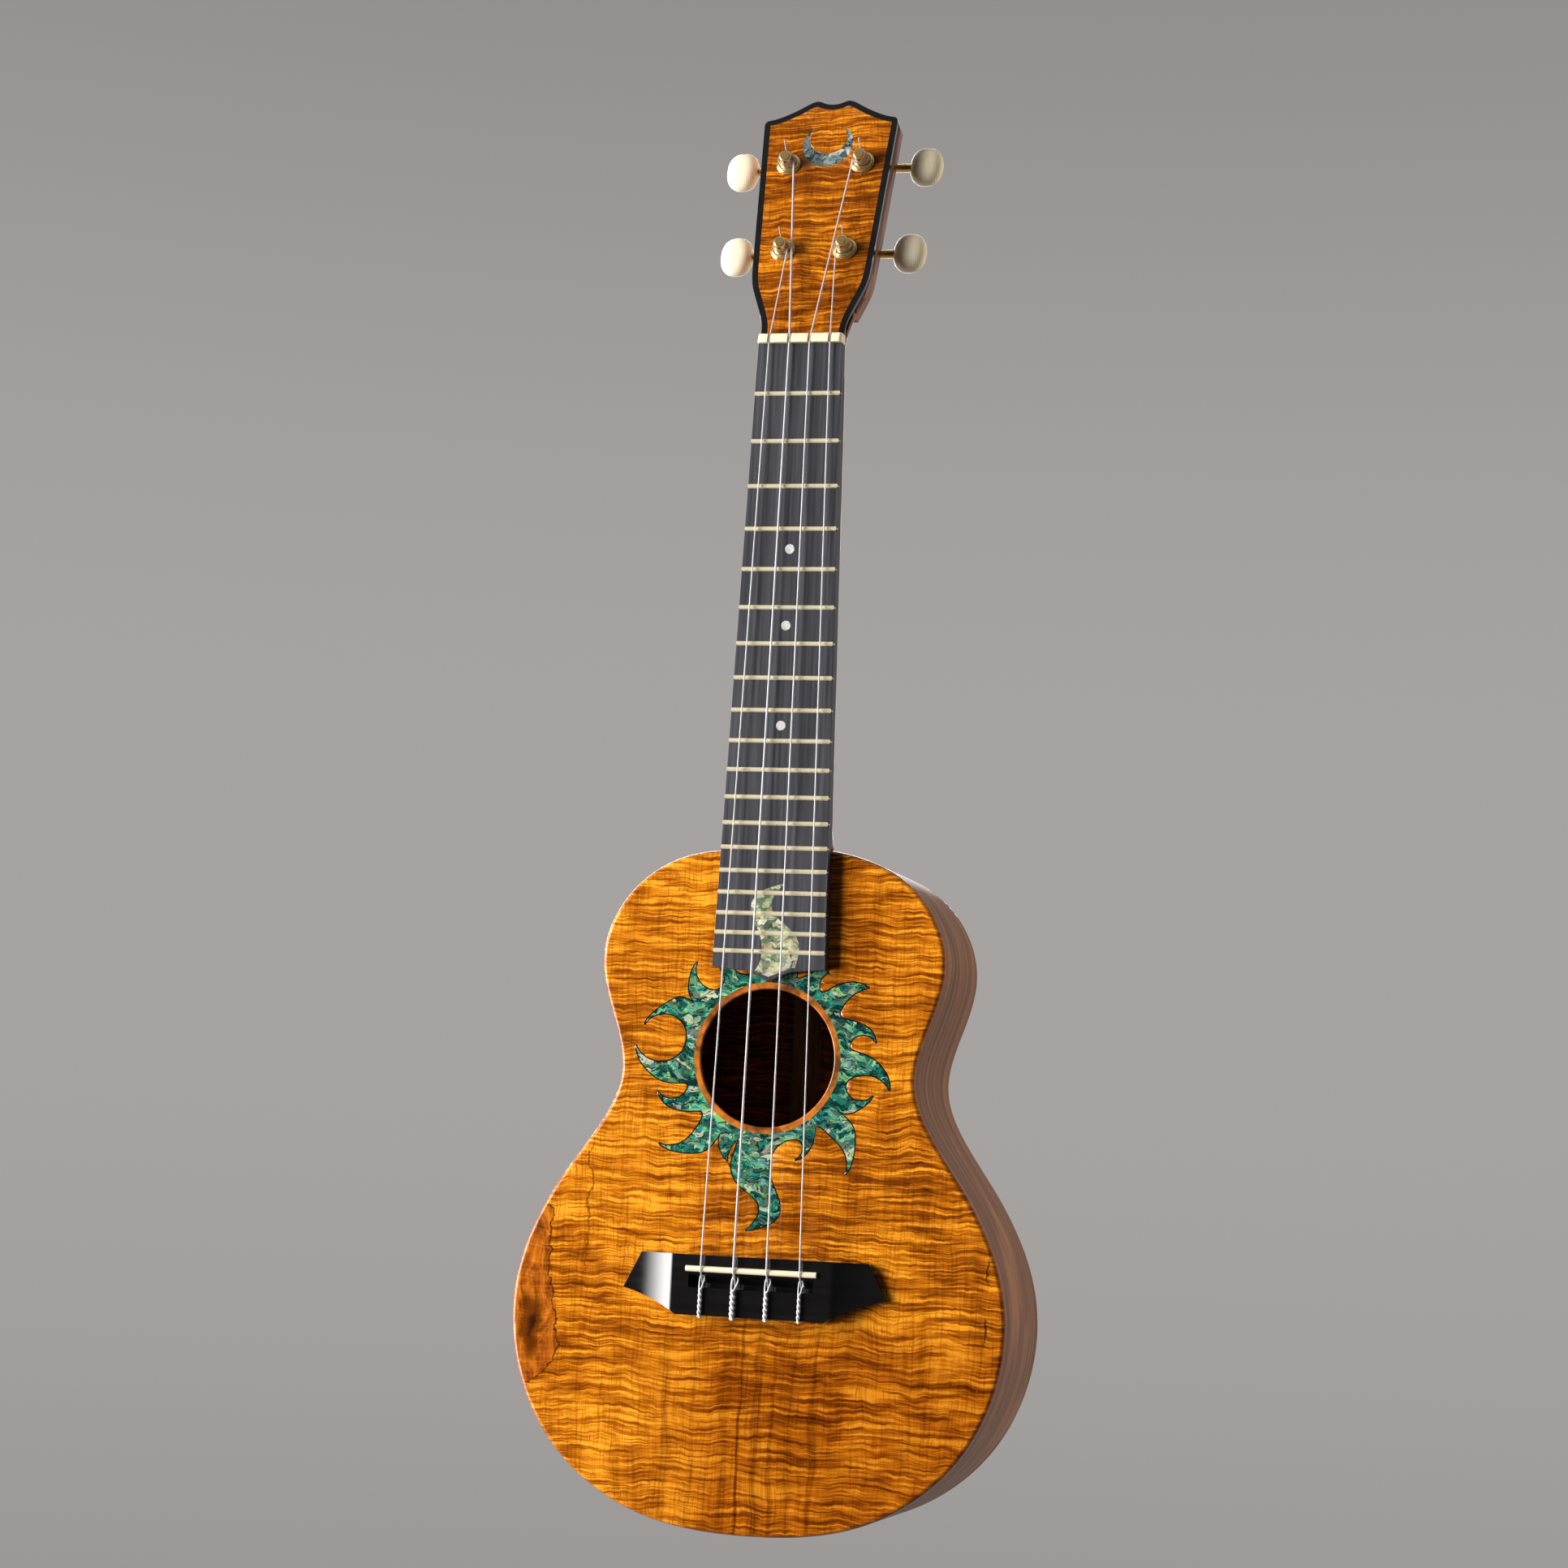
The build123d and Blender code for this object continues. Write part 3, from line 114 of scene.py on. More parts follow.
class UKE_PG_hardware(bpy.types.PropertyGroup):
    """Sizes of the tuners' visible parts."""

    post_radius: length("Post radius", 2.75, "Radius of a string post where the string winds")
    winding_height: length("Winding height", 2.65, "Height of the first turn above the headstock")
    button_edge: FloatProperty(name="Button squareness", description="Exponent of the button's outline",
                               default=2.35)
    edge: length("Edge softening", 0.25, "Width of the small rounding on machined edges")


class UKE_PG_studio(bpy.types.PropertyGroup):
    """Camera, lights and backdrop."""

    lens: FloatProperty(name="Lens", description="Focal length", default=78.26, unit="CAMERA")
    eye: FloatVectorProperty(name="Camera place", description="Where the camera stands", size=3,
                             default=(0.3650, -1.3474, -0.3665), subtype="TRANSLATION", unit="LENGTH")
    floor_drop: length("Floor drop", 1400.0, "Floor below the instrument's lowest point")
    room: length("Room radius", 3000.0, "Radius of the seamless backdrop")
    key: FloatProperty(name="Key power", description="Power of the main softbox", default=58.0, unit="POWER")
    fill: FloatProperty(name="Fill power", description="Power of the fill softbox", default=30.0,
                        unit="POWER")


# ---------------------------------------------------------------- material recipes
class Recipe:
    """Builds one procedural material round a Principled shader."""

    def __init__(self, name, **shader):
        self.material = bpy.data.materials.new(name)
        self.material.use_nodes = True
        tree = self.material.node_tree
        tree.nodes.clear()
        self.nodes, self.links = tree.nodes, tree.links
        self.shader = self.nodes.new("ShaderNodeBsdfPrincipled")
        output = self.nodes.new("ShaderNodeOutputMaterial")
        self.links.new(self.shader.outputs[0], output.inputs[0])
        for key, value in shader.items():
            self.shader.inputs[key.replace("_", " ")].default_value = value
        self.place = self.nodes.new("ShaderNodeTexCoord").outputs["Object"]

    def feed(self, socket, value):
        if isinstance(value, bpy.types.NodeSocket):
            self.links.new(value, socket)
        elif isinstance(value, (tuple, list)) and len(value) == 3 and socket.type == "RGBA":
            socket.default_value = (*value, 1.0)
        else:
            socket.default_value = value

    def node(self, kind, inputs, settings=None, output=0):
        made = self.nodes.new(kind)
        for key, value in (settings or {}).items():
            setattr(made, key, value)
        for key, value in inputs.items():
            self.feed(made.inputs[key], value)
        return made.outputs[output]

    def stretch(self, scale, shift=(0, 0, 0), turn=(0, 0, 0), place=None):
        return self.node("ShaderNodeMapping", {"Vector": place or self.place, "Location": shift,
                                               "Rotation": turn, "Scale": scale})

    def noise(self, place, detail=3.0, rough=0.5, bend=0.0, output=0):
        return self.node("ShaderNodeTexNoise", {"Vector": place, "Scale": 1.0, "Detail": detail,
                                                "Roughness": rough, "Distortion": bend}, output=output)

    def cells(self, place):
        """The random colour of each cell."""
        return self.node("ShaderNodeTexVoronoi", {"Vector": place, "Scale": 1.0}, {"feature": "F1"}, 1)

    def bands(self, place, scale, bend, detail):
        """Soft bands across X."""
        settings = {"wave_type": "BANDS", "bands_direction": "X", "wave_profile": "SIN"}
        inputs = {"Vector": place, "Scale": scale, "Distortion": bend, "Detail": detail}
        return self.node("ShaderNodeTexWave", inputs, settings)

    def maths(self, action, a, b=0.0):
        return self.node("ShaderNodeMath", {0: a, 1: b}, {"operation": action})

    def vector(self, action, a, b):
        return self.node("ShaderNodeVectorMath", {0: a, 1: b}, {"operation": action})

    def sheet(self, x, z, across, along):
        """A flat place whose X and Z are stretched apart."""
        return self.join(self.maths("MULTIPLY", x, across), 0.0, self.maths("MULTIPLY", z, along))

    def sway(self, scale, detail, rough):
        """A wandering offset that is nought on average."""
        drift = self.noise(self.stretch(scale), detail=detail, rough=rough, output=1)
        return self.vector("SUBTRACT", drift, (0.5, 0.5, 0.5))

    def darkened(self, share, tone, shade):
        """Multiplies a tone by a shade where share is high."""
        return self.mix(share, tone, shade, blend="MULTIPLY")

    def band(self, value, low, high, from_value=0.0, to_value=1.0, smooth=True):
        kind = "SMOOTHSTEP" if smooth else "LINEAR"
        inputs = {"Value": value, "From Min": low, "From Max": high, "To Min": from_value, "To Max": to_value}
        return self.node("ShaderNodeMapRange", inputs, {"interpolation_type": kind})

    def parts(self, place=None):
        made = self.nodes.new("ShaderNodeSeparateXYZ")
        self.feed(made.inputs[0], place or self.place)
        return made.outputs[0], made.outputs[1], made.outputs[2]

    def join(self, x, y, z):
        return self.node("ShaderNodeCombineXYZ", {0: x, 1: y, 2: z})

    def mix(self, share, a, b, blend="MIX"):
        made = self.nodes.new("ShaderNodeMix")
        made.data_type, made.blend_type = "RGBA", blend
        self.feed(made.inputs[0], share)
        self.feed(made.inputs[6], a)
        self.feed(made.inputs[7], b)
        return made.outputs[2]

    def ramp(self, value, stops):
        made = self.nodes.new("ShaderNodeValToRGB")
        self.feed(made.inputs[0], value)
        points = made.color_ramp.elements
        while len(points) < len(stops):
            points.new(1.0)
        for point, (at, tone) in zip(points, stops):
            point.position, point.color = at, (*tone, 1.0)
        return made.outputs[0]

    def paint(self, tone):
        self.feed(self.shader.inputs["Base Color"], tone)
        return self

    def gloss(self, value):
        self.feed(self.shader.inputs["Roughness"], value)
        return self

    def bump(self, height, depth, strength=1.0):
        made = self.node("ShaderNodeBump", {"Height": height, "Distance": depth, "Strength": strength})
        self.links.new(made, self.shader.inputs["Normal"])
        return self


# Dark streaks down the lower middle of the soundboard: place across and half width in mm, depth of tone
STREAKS = ((-35.0, 2.6, 0.50), (-24.0, 1.5, 0.30), (-11.0, 3.0, 0.45), (-4.5, 1.1, 0.95), (3.0, 3.4, 0.70),
           (10.0, 1.6, 0.50), (17.0, 2.4, 0.40), (26.0, 2.2, 0.60))
STREAK_SHADE = (0.22, 0.13, 0.07)
STREAKS_FADE_IN = (-0.385, -0.455)
# The knot by the left edge of the lower bout: its heart, its half sizes and the bark line's bulge round it
KNOT_X, KNOT_Z = -0.0945, -0.426
KNOT_HALF_WIDTH, KNOT_HALF_HEIGHT = 0.0052, 0.0145
BARK_X, BARK_Z = -0.0885, -0.431
BARK_BULGE, BARK_HALF_HEIGHT = 0.0065, 0.013
SECOND_LINE_X = -0.0725
CRACK_X = 0.0955
# How far behind the soundboard's face the darkening of its rounded edge starts, and where it is darkest: mostly
# painted shade for the dark the rounded edge shows as it turns away from the light, with some real darkening where
# the finish pools on the cut grain
EDGE_SHADE_START, EDGE_SHADE_END = 0.2 * MM, 1.2 * MM


def curly_koa(name, woods, tilt=0.0, deep=0.0, soundboard=False):
    """Koa whose curl shows as fine dark ripples across the grain, under a deep clear gloss."""
    r = Recipe(name, Roughness=0.45, Coat_Weight=1.0, Coat_Roughness=0.03, Coat_IOR=1.5,
               Specular_IOR_Level=0.0)
    sway = r.sway((26, 8, 15), detail=4, rough=0.62)
    wander = r.vector("ADD", r.place, r.vector("MULTIPLY", sway, (0.010, 0.0, 0.012)))
    wander = r.stretch((1, 1, 1), turn=(0, tilt, 0), place=wander)
    fine = r.noise(r.stretch((52, 50, 900), place=wander), detail=3, rough=0.6, bend=0.5)
    broad = r.noise(r.stretch((30, 30, 420), place=wander), detail=3, rough=0.55, bend=0.5)
    patch = r.noise(r.stretch((15, 10, 17), shift=(3.1, 0, 1.7)), detail=3, rough=0.6)
    curl = r.maths("ADD", r.maths("MULTIPLY", fine, 0.60), r.maths("MULTIPLY", broad, 0.40))
    depth = r.maths("ADD", curl, r.band(patch, 0.34, 0.66, deep - 0.045, deep + 0.055, smooth=False))
    tone = r.ramp(depth, [(0.40, woods["golden"]), (0.485, woods["amber"]), (0.575, woods["umber"]),
                          (0.70, woods["burnt"])])
    grain = r.noise(r.stretch((900, 600, 34), place=wander), detail=4, rough=0.65)
    tone = r.darkened(r.band(grain, 0.44, 0.68, 0.0, 0.62), tone, (0.50, 0.34, 0.20))
    if soundboard:
        x, _, z = r.parts(wander)
        tone = add_streaks(r, tone, x, z)
    pores = r.noise(r.stretch((1500, 600, 190), place=wander), detail=2, rough=0.6)
    tone = r.mix(r.band(pores, 0.58, 0.68, 0.0, 0.62), tone, woods["umber"])
    if soundboard:
        tone = add_knot(r, tone, woods)
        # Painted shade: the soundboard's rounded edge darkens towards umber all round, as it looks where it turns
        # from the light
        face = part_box("soundboard")[0].y
        painted_edge_shade = r.band(r.parts()[1], face + EDGE_SHADE_START, face + EDGE_SHADE_END, 0.0, 0.80)
        tone = r.mix(painted_edge_shade, tone, woods["umber"])
    r.paint(tone)
    return r.bump(curl, 0.0002, 0.3).material


def add_streaks(r, tone, x, z):
    """Dark bands of straight grain under the bridge, softer ones over the whole board, and painted shade over the
    lower middle and right of the board.
    """
    waver = r.noise(r.sheet(x, z, 25.0, 22.0), detail=3, rough=0.6)
    across = r.maths("ADD", x, r.maths("MULTIPLY", r.maths("SUBTRACT", waver, 0.5), 0.006))
    below = r.band(z, *STREAKS_FADE_IN, 0.12, 1.0)
    broken = r.band(r.noise(r.sheet(x, z, 900.0, 26.0), detail=3, rough=0.6), 0.30, 0.60, 0.35, 1.0)
    for place, width, strength in STREAKS:
        away = r.maths("ABSOLUTE", r.maths("SUBTRACT", across, place * MM))
        share = r.maths("MULTIPLY", r.band(away, width * MM, width * 0.15 * MM, 0.0, strength), below)
        tone = r.darkened(r.maths("MULTIPLY", share, broken), tone, STREAK_SHADE)
    # Painted shade: the lower middle and right of the lower bout made darker, where the key light from the left
    # falls off
    centre = r.maths("MULTIPLY", r.band(z, -0.395, -0.440), r.band(x, -0.060, -0.010))
    tone = r.darkened(r.maths("MULTIPLY", centre, 0.75), tone, (0.62, 0.50, 0.42))
    soft = r.noise(r.sheet(x, z, 95.0, 5.0), detail=4, rough=0.6)
    return r.darkened(r.band(soft, 0.46, 0.68, 0.0, 0.35), tone, (0.42, 0.28, 0.18))


def add_knot(r, tone, woods):
    """A dark knot by the left edge of the lower bout, its bark line, a line beside it and two cracks."""
    shake = r.vector("MULTIPLY", r.sway((120, 60, 120), detail=4, rough=0.65), (0.009, 0.0, 0.010))
    x, _, z = r.parts(r.vector("ADD", r.place, shake))
    bulge = r.maths("POWER", r.maths("DIVIDE", r.maths("SUBTRACT", z, BARK_Z), BARK_HALF_HEIGHT), 2.0)
    bulge = r.maths("DIVIDE", BARK_BULGE, r.maths("ADD", bulge, 1.0))
    ends = r.maths("ADD", r.band(z, -0.378, -0.362, 0.0, 0.016), r.band(z, -0.440, -0.456, 0.0, 0.014))
    edge = r.maths("SUBTRACT", r.maths("ADD", bulge, BARK_X), ends)
    past = r.maths("SUBTRACT", edge, x)
    inside = r.band(past, -0.0002, 0.0008)
    figure = r.noise(r.stretch((160, 50, 60)), detail=4, rough=0.65, bend=1.5)
    bark = r.ramp(figure, [(0.36, (0.62, 0.17, 0.012)), (0.5, (0.34, 0.075, 0.007)),
                           (0.62, (0.11, 0.022, 0.004))])
    tone = r.mix(r.maths("MULTIPLY", inside, 0.75), tone, bark)
    across = r.maths("DIVIDE", r.maths("SUBTRACT", x, KNOT_X), KNOT_HALF_WIDTH)
    along = r.maths("DIVIDE", r.maths("SUBTRACT", z, KNOT_Z), KNOT_HALF_HEIGHT)
    reach = r.maths("SQRT", r.maths("ADD", r.maths("POWER", across, 2.0), r.maths("POWER", along, 2.0)))
    tone = r.mix(r.band(reach, 1.15, 0.55, 0.0, 0.9), tone, woods["burnt"])
    tone = r.mix(r.band(reach, 0.55, 0.1, 0.0, 0.8), tone, (0.012, 0.004, 0.003))
    line = r.maths("MULTIPLY", r.band(past, -0.0006, 0.0), r.band(past, 0.0008, 0.0001))
    tone = r.mix(r.maths("MULTIPLY", line, 0.92), tone, (0.03, 0.008, 0.003))
    beside = r.maths("ABSOLUTE", r.maths("SUBTRACT", x, SECOND_LINE_X))
    stretch = r.maths("MULTIPLY", r.band(z, -0.408, -0.400), r.band(z, -0.345, -0.355))
    second = r.maths("MULTIPLY", r.band(beside, 0.0006, 0.0001), stretch)
    tone = r.mix(r.maths("MULTIPLY", second, 0.7), tone, woods["burnt"])
    crack = r.maths("ABSOLUTE", r.maths("SUBTRACT", x, CRACK_X))
    low = r.maths("MULTIPLY", r.band(z, -0.424, -0.420), r.band(z, -0.411, -0.415))
    high = r.maths("MULTIPLY", r.band(z, -0.400, -0.396), r.band(z, -0.388, -0.392))
    cracks = r.maths("MULTIPLY", r.band(crack, 0.0009, 0.0002), r.maths("ADD", low, high))
    return r.mix(r.maths("MULTIPLY", cracks, 0.9), tone, (0.02, 0.006, 0.003))


def shaded(base, factor):
    """A colour made lighter or darker."""
    return tuple(min(1.0, c * factor) for c in base)


def rim_koa(name, woods):
    """Satin brown koa with its grain running round the rim."""
    r = Recipe(name, Roughness=0.5, Coat_Weight=0.10, Coat_Roughness=0.2, Specular_IOR_Level=0.12)
    x, y, z = r.parts()
    drift = r.noise(r.stretch((14, 14, 9)), detail=3)
    swayed = r.join(x, r.maths("ADD", y, r.maths("MULTIPLY", drift, 0.016)), z)
    grain = r.noise(r.vector("MULTIPLY", swayed, (7.0, 420.0, 7.0)), detail=4, rough=0.6)
    cloud = r.noise(r.stretch((22, 40, 14)), detail=3, rough=0.5)
    base = woods["rim"]
    pale, deep = shaded(base, 1.55), shaded(base, 0.42)
    tone = r.mix(r.band(grain, 0.36, 0.66), deep, base)
    tone = r.mix(r.band(cloud, 0.50, 0.72, 0.0, 0.6), tone, pale)
    pores = r.noise(r.vector("MULTIPLY", swayed, (110.0, 1800.0, 110.0)), detail=2)
    tone = r.mix(r.band(pores, 0.58, 0.70, 0.0, 0.55), tone, deep)
    r.paint(tone)
    return r.bump(pores, 0.00005, 0.3).material


def plain_wood(name, base, along=(260, 260, 9), rough=0.42, coat=0.25, contrast=0.45, pore=0.35):
    """Straight-grained wood."""
    r = Recipe(name, Roughness=rough, Coat_Weight=coat, Coat_Roughness=0.15)
    grain = r.noise(r.stretch(along), detail=5, rough=0.6, bend=0.2)
    deep, pale = shaded(base, 1 - contrast), shaded(base, 1 + 0.5 * contrast)
    tone = r.mix(r.band(grain, 0.35, 0.65), deep, pale)
    fine = r.noise(r.stretch(tuple(c * 5 for c in along)), detail=2)
    tone = r.mix(r.band(fine, 0.58, 0.72, 0.0, pore), tone, deep)
    r.paint(tone)
    return r.bump(fine, 0.00004, 0.3).material


def ebony_wood(name, base, rough=0.42):
    """Nearly black wood with a faint straight grain and a rubbed sheen."""
    r = Recipe(name, Specular_IOR_Level=0.55)
    grain = r.noise(r.stretch((700, 300, 14)), detail=4, rough=0.6)
    tone = r.mix(r.band(grain, 0.35, 0.7), shaded(base, 0.7), shaded(base, 1.5))
    r.paint(tone)
    r.gloss(r.band(grain, 0.3, 0.7, rough - 0.05, rough + 0.08))
    return r.bump(grain, 0.00004, 0.3).material


def polished_black(name, base=(0.006, 0.0055, 0.0055)):
    """Black with a deep polish."""
    r = Recipe(name, Coat_Weight=1.0, Coat_Roughness=0.03, Coat_IOR=1.6, Specular_IOR_Level=0.6)
    grain = r.noise(r.stretch((30, 60, 400)), detail=3)
    tone = r.mix(grain, shaded(base, 0.6), shaded(base, 1.5))
    return r.paint(tone).gloss(r.band(grain, 0.3, 0.7, 0.12, 0.2)).material


# The shells' colours, from the lowest layer to the highest
GREEN_SHELL = [(0.18, (0.005, 0.030, 0.030)), (0.30, (0.010, 0.13, 0.09)), (0.39, (0.020, 0.33, 0.14)),
               (0.47, (0.02, 0.14, 0.26)), (0.54, (0.06, 0.50, 0.24)), (0.63, (0.40, 0.58, 0.08)),
               (0.72, (0.04, 0.28, 0.50)), (0.80, (0.16, 0.42, 0.16)), (0.90, (0.62, 0.58, 0.40))]
GOLD_SHELL = [(0.20, (0.10, 0.16, 0.10)), (0.32, (0.30, 0.50, 0.30)), (0.44, (0.62, 0.50, 0.24)),
              (0.56, (0.74, 0.66, 0.44)), (0.68, (0.52, 0.66, 0.40)), (0.80, (0.78, 0.58, 0.50)),
              (0.92, (0.85, 0.82, 0.70))]
GREY_SHELL = [(0.22, (0.03, 0.05, 0.06)), (0.34, (0.14, 0.20, 0.18)), (0.46, (0.30, 0.36, 0.30)),
              (0.56, (0.10, 0.20, 0.24)), (0.66, (0.42, 0.40, 0.34)), (0.78, (0.06, 0.34, 0.44)),
              (0.90, (0.62, 0.62, 0.56))]
SHELL_FOLD = (0.013, 0.0, 0.013)
SHELL_SEAM = (0.003, 0.010, 0.016)


def abalone(name, shades, dark=0.92, turn=0.5):
    """Abalone shell: folded, glittering layers between dark wavy growth lines."""
    r = Recipe(name, Roughness=0.25, Metallic=0.15, Coat_Weight=1.0, Coat_Roughness=0.03,
               Specular_IOR_Level=0.5)
    fold = r.sway((95, 60, 95), detail=3, rough=0.6)
    moved = r.vector("ADD", r.place, r.vector("MULTIPLY", fold, SHELL_FOLD))
    plates = r.cells(r.stretch((260, 60, 620), turn=(0, turn, 0), place=moved))
    hue, light, glint = r.parts(plates)
    drift = r.noise(r.stretch((110, 40, 190), turn=(0, turn, 0), place=moved), detail=4, rough=0.65, bend=1.0)
    layered = r.maths("MULTIPLY", r.band(drift, 0.30, 0.70), 0.58)
    choice = r.maths("ADD", r.maths("MULTIPLY", hue, 0.42), layered)
    tone = r.mix(r.band(light, 0.30, 0.95, 0.0, 0.80), r.ramp(choice, shades), shades[0][1])
    tone = r.mix(r.band(glint, 0.86, 0.97, 0.0, 0.80), tone, shaded(shades[-1][1], 1.15))
    seams = r.noise(r.stretch((75, 50, 260), turn=(0, turn, 0), place=moved), detail=3, rough=0.55, bend=1.8)
    line = r.maths("MULTIPLY", r.band(seams, 0.462, 0.486), r.band(seams, 0.530, 0.506))
    tone = r.mix(r.maths("MULTIPLY", line, dark), tone, SHELL_SEAM)
    r.paint(tone)
    return r.bump(choice, 0.0002, 0.4).material


def pearl(name):
    """Mother-of-pearl."""
    r = Recipe(name, Roughness=0.2, Coat_Weight=0.8, Coat_Roughness=0.05, Specular_IOR_Level=0.7)
    cloud = r.noise(r.stretch((500, 500, 500)), detail=3, bend=1.0)
    tone = r.ramp(cloud, [(0.3, (0.42, 0.55, 0.55)), (0.5, (0.80, 0.80, 0.74)), (0.7, (0.75, 0.66, 0.66))])
    return r.paint(tone).material


def bone(name, base, warm=0.06):
    """Bone or cream plastic with faint growth lines."""
    r = Recipe(name, Subsurface_Weight=0.12, Subsurface_Scale=0.002, Coat_Weight=0.25)
    layers = r.bands(r.stretch((120, 120, 40)), scale=3.0, bend=2.2, detail=3)
    tone = r.mix(layers, base, tuple(c * (1 - warm * (1 + i)) for i, c in enumerate(base)))
    fine = r.noise(r.stretch((900, 900, 900)), detail=2)
    return r.paint(tone).gloss(r.band(fine, 0.3, 0.7, 0.30, 0.42)).material


def gold(name, base=(0.98, 0.70, 0.28), rough=0.14, metal=0.85):
    """Polished gold-coloured metal with faint handling marks."""
    r = Recipe(name, Metallic=metal, Specular_IOR_Level=0.6)
    marks = r.noise(r.stretch((160, 160, 90)), detail=2, rough=0.5)
    tone = r.mix(marks, base, shaded(base, 0.88))
    return r.paint(tone).gloss(r.band(marks, 0.3, 0.7, rough * 0.8, rough * 1.4)).material


def steel(name, base=(0.55, 0.56, 0.58)):
    """Plain drawn steel."""
    r = Recipe(name, Metallic=1.0)
    marks = r.noise(r.stretch((500, 500, 120)), detail=4)
    tone = r.mix(marks, base, shaded(base, 0.8))
    return r.paint(tone).gloss(r.band(marks, 0.3, 0.7, 0.22, 0.4)).material


def nylon(name, clear):
    """Smooth string material, from milky to clear."""
    r = Recipe(name, Roughness=0.12, IOR=1.42, Transmission_Weight=clear, Coat_Weight=0.6,
               Coat_Roughness=0.04, Specular_IOR_Level=0.8)
    fine = r.noise(r.stretch((600, 600, 60)), detail=2)
    return r.paint(r.mix(fine, (0.88, 0.88, 0.90), (0.74, 0.74, 0.76))).material


MATERIALS = {}
MERGE_DISTANCE = 2e-6
FLAT_ANGLE = 0.6
ARC_STEPS = 5


def make_materials():
    """Every finish, under the name of its slot in the frame or of a variety of that slot."""
    woods = bpy.context.scene.uke_woods
    names = ("golden", "amber", "umber", "burnt", "rim", "neck", "ebony")
    tones = {name: tuple(getattr(woods, name)) for name in names}
    MATERIALS.update(
        koa_top=curly_koa("koa_top", tones, soundboard=True),
        koa_face=curly_koa("koa_face", tones, tilt=0.07, deep=0.045),
        koa_ring=plain_wood("koa_ring", (0.46, 0.13, 0.012), (160, 160, 160), 0.3, 1.0, 0.7),
        koa_back=curly_koa("koa_back", tones, deep=0.035),
        koa_side=rim_koa("koa_side", tones),
        neck_wood=plain_wood("neck_wood", tones["neck"], rough=0.36, coat=0.4),
        lining_wood=plain_wood("lining_wood", (0.20, 0.10, 0.05), rough=0.7, coat=0.0),
        brace_wood=plain_wood("brace_wood", (0.42, 0.28, 0.15), (500, 500, 12), 0.75, 0.0, 0.3),
        ebony=ebony_wood("ebony", tones["ebony"]),
        bridge_wood=polished_black("bridge_wood"),
        binding=polished_black("binding", (0.008, 0.008, 0.008)),
        inlay_line=polished_black("inlay_line", (0.004, 0.004, 0.004)),
        shell=abalone("shell", GREEN_SHELL),
        shell_gold=abalone("shell_gold", GOLD_SHELL, 0.6, 1.2),
        shell_grey=abalone("shell_grey", GREY_SHELL, 0.9, 1.9),
        pearl=pearl("pearl"),
        bone=bone("bone", (0.88, 0.78, 0.58)),
        fret_brass=gold("fret_brass", (0.98, 0.86, 0.58), 0.30, metal=0.45),
        tuner_brass=gold("tuner_brass"),
        button_cream=bone("button_cream", (0.95, 0.87, 0.66), 0.10),
        string_nylon=nylon("string_nylon", 0.50),
        string_turns=nylon("string_turns", 0.92),
        string_knot=nylon("string_knot", 0.12),
        steel=steel("steel"),
    )


# ---------------------------------------------------------------- mesh helpers
def piece_from(mesh, name, body, slot, replaced=(), finish=None):
    """Links a finished mesh as a piece that rides on a body, in its slot's finish or a variety of it."""
    made = bpy.data.objects.new(name, mesh)
    bpy.context.scene.collection.objects.link(made)
    mesh.materials.clear()
    mesh.materials.append(MATERIALS[finish or slot])
    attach(made, body)
    if replaced:
        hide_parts(*replaced)
    return made


def plain_mesh(work, name):
    """The evaluated mesh of a work object, which is then removed."""
    graph = bpy.context.evaluated_depsgraph_get()
    mesh = bpy.data.meshes.new_from_object(work.evaluated_get(graph), depsgraph=graph)
    data = work.data
    bpy.data.objects.remove(work)
    if isinstance(data, bpy.types.Mesh):
        bpy.data.meshes.remove(data)
    else:
        bpy.data.curves.remove(data)
    mesh.name = name
    return mesh


def joined(work, angle, flat):
    """Merges a triangle mesh, drops the edges inside flat faces if asked and smooths what curves."""
    bm = bmesh.new()
    bm.from_mesh(work)
    bmesh.ops.remove_doubles(bm, verts=bm.verts, dist=MERGE_DISTANCE)
    if flat:
        bmesh.ops.dissolve_limit(bm, angle_limit=math.radians(FLAT_ANGLE), verts=bm.verts, edges=bm.edges)
    bm.to_mesh(work)
    bm.free()
    work.shade_smooth()
    work.set_sharp_from_angle(angle=math.radians(angle))


def body_holding(node):
    """The body that a frame node rides on."""
    groups = frame["record"]["behaviour"]["bodies"]
    return next(body for body, nodes in groups.items() if node in nodes)


def skin(node, bevel=0.0, angle=30.0, segments=2, finish=None):
    """A merged, smooth-shaded copy of a frame node with softened edges, in its slot's finish or a variety."""
    slots = {part["node"]: part["material_slot"] for part in frame["record"]["subparts"]}
    mesh = frame["nodes"][node].data.copy()
    joined(mesh, angle, flat=bevel > 0)
    work = bpy.data.objects.new("work", mesh)
    bpy.context.scene.collection.objects.link(work)
    if bevel:
        soft = work.modifiers.new("Soft edges", "BEVEL")
        soft.limit_method, soft.angle_limit = "ANGLE", math.radians(angle)
        soft.width, soft.segments = bevel, segments
        soft.use_clamp_overlap = True
    even = work.modifiers.new("Even shading", "WEIGHTED_NORMAL")
    even.weight, even.keep_sharp = 100, not bevel
    mesh = plain_mesh(work, node)
    return piece_from(mesh, node + "_finish", body_holding(node), slots[node], [node], finish)


def tube(name, points, radius):
    """A round tube along points, as a plain mesh."""
    curve = bpy.data.curves.new(name, "CURVE")
    curve.dimensions, curve.bevel_depth, curve.bevel_resolution = "3D", radius, 2
    curve.use_fill_caps = True
    line = curve.splines.new("POLY")
    line.points.add(len(points) - 1)
    for point, place in zip(line.points, points):
        point.co = (*place, 1.0)
    work = bpy.data.objects.new(name, curve)
    bpy.context.scene.collection.objects.link(work)
    mesh = plain_mesh(work, name)
    mesh.shade_smooth()
    return mesh


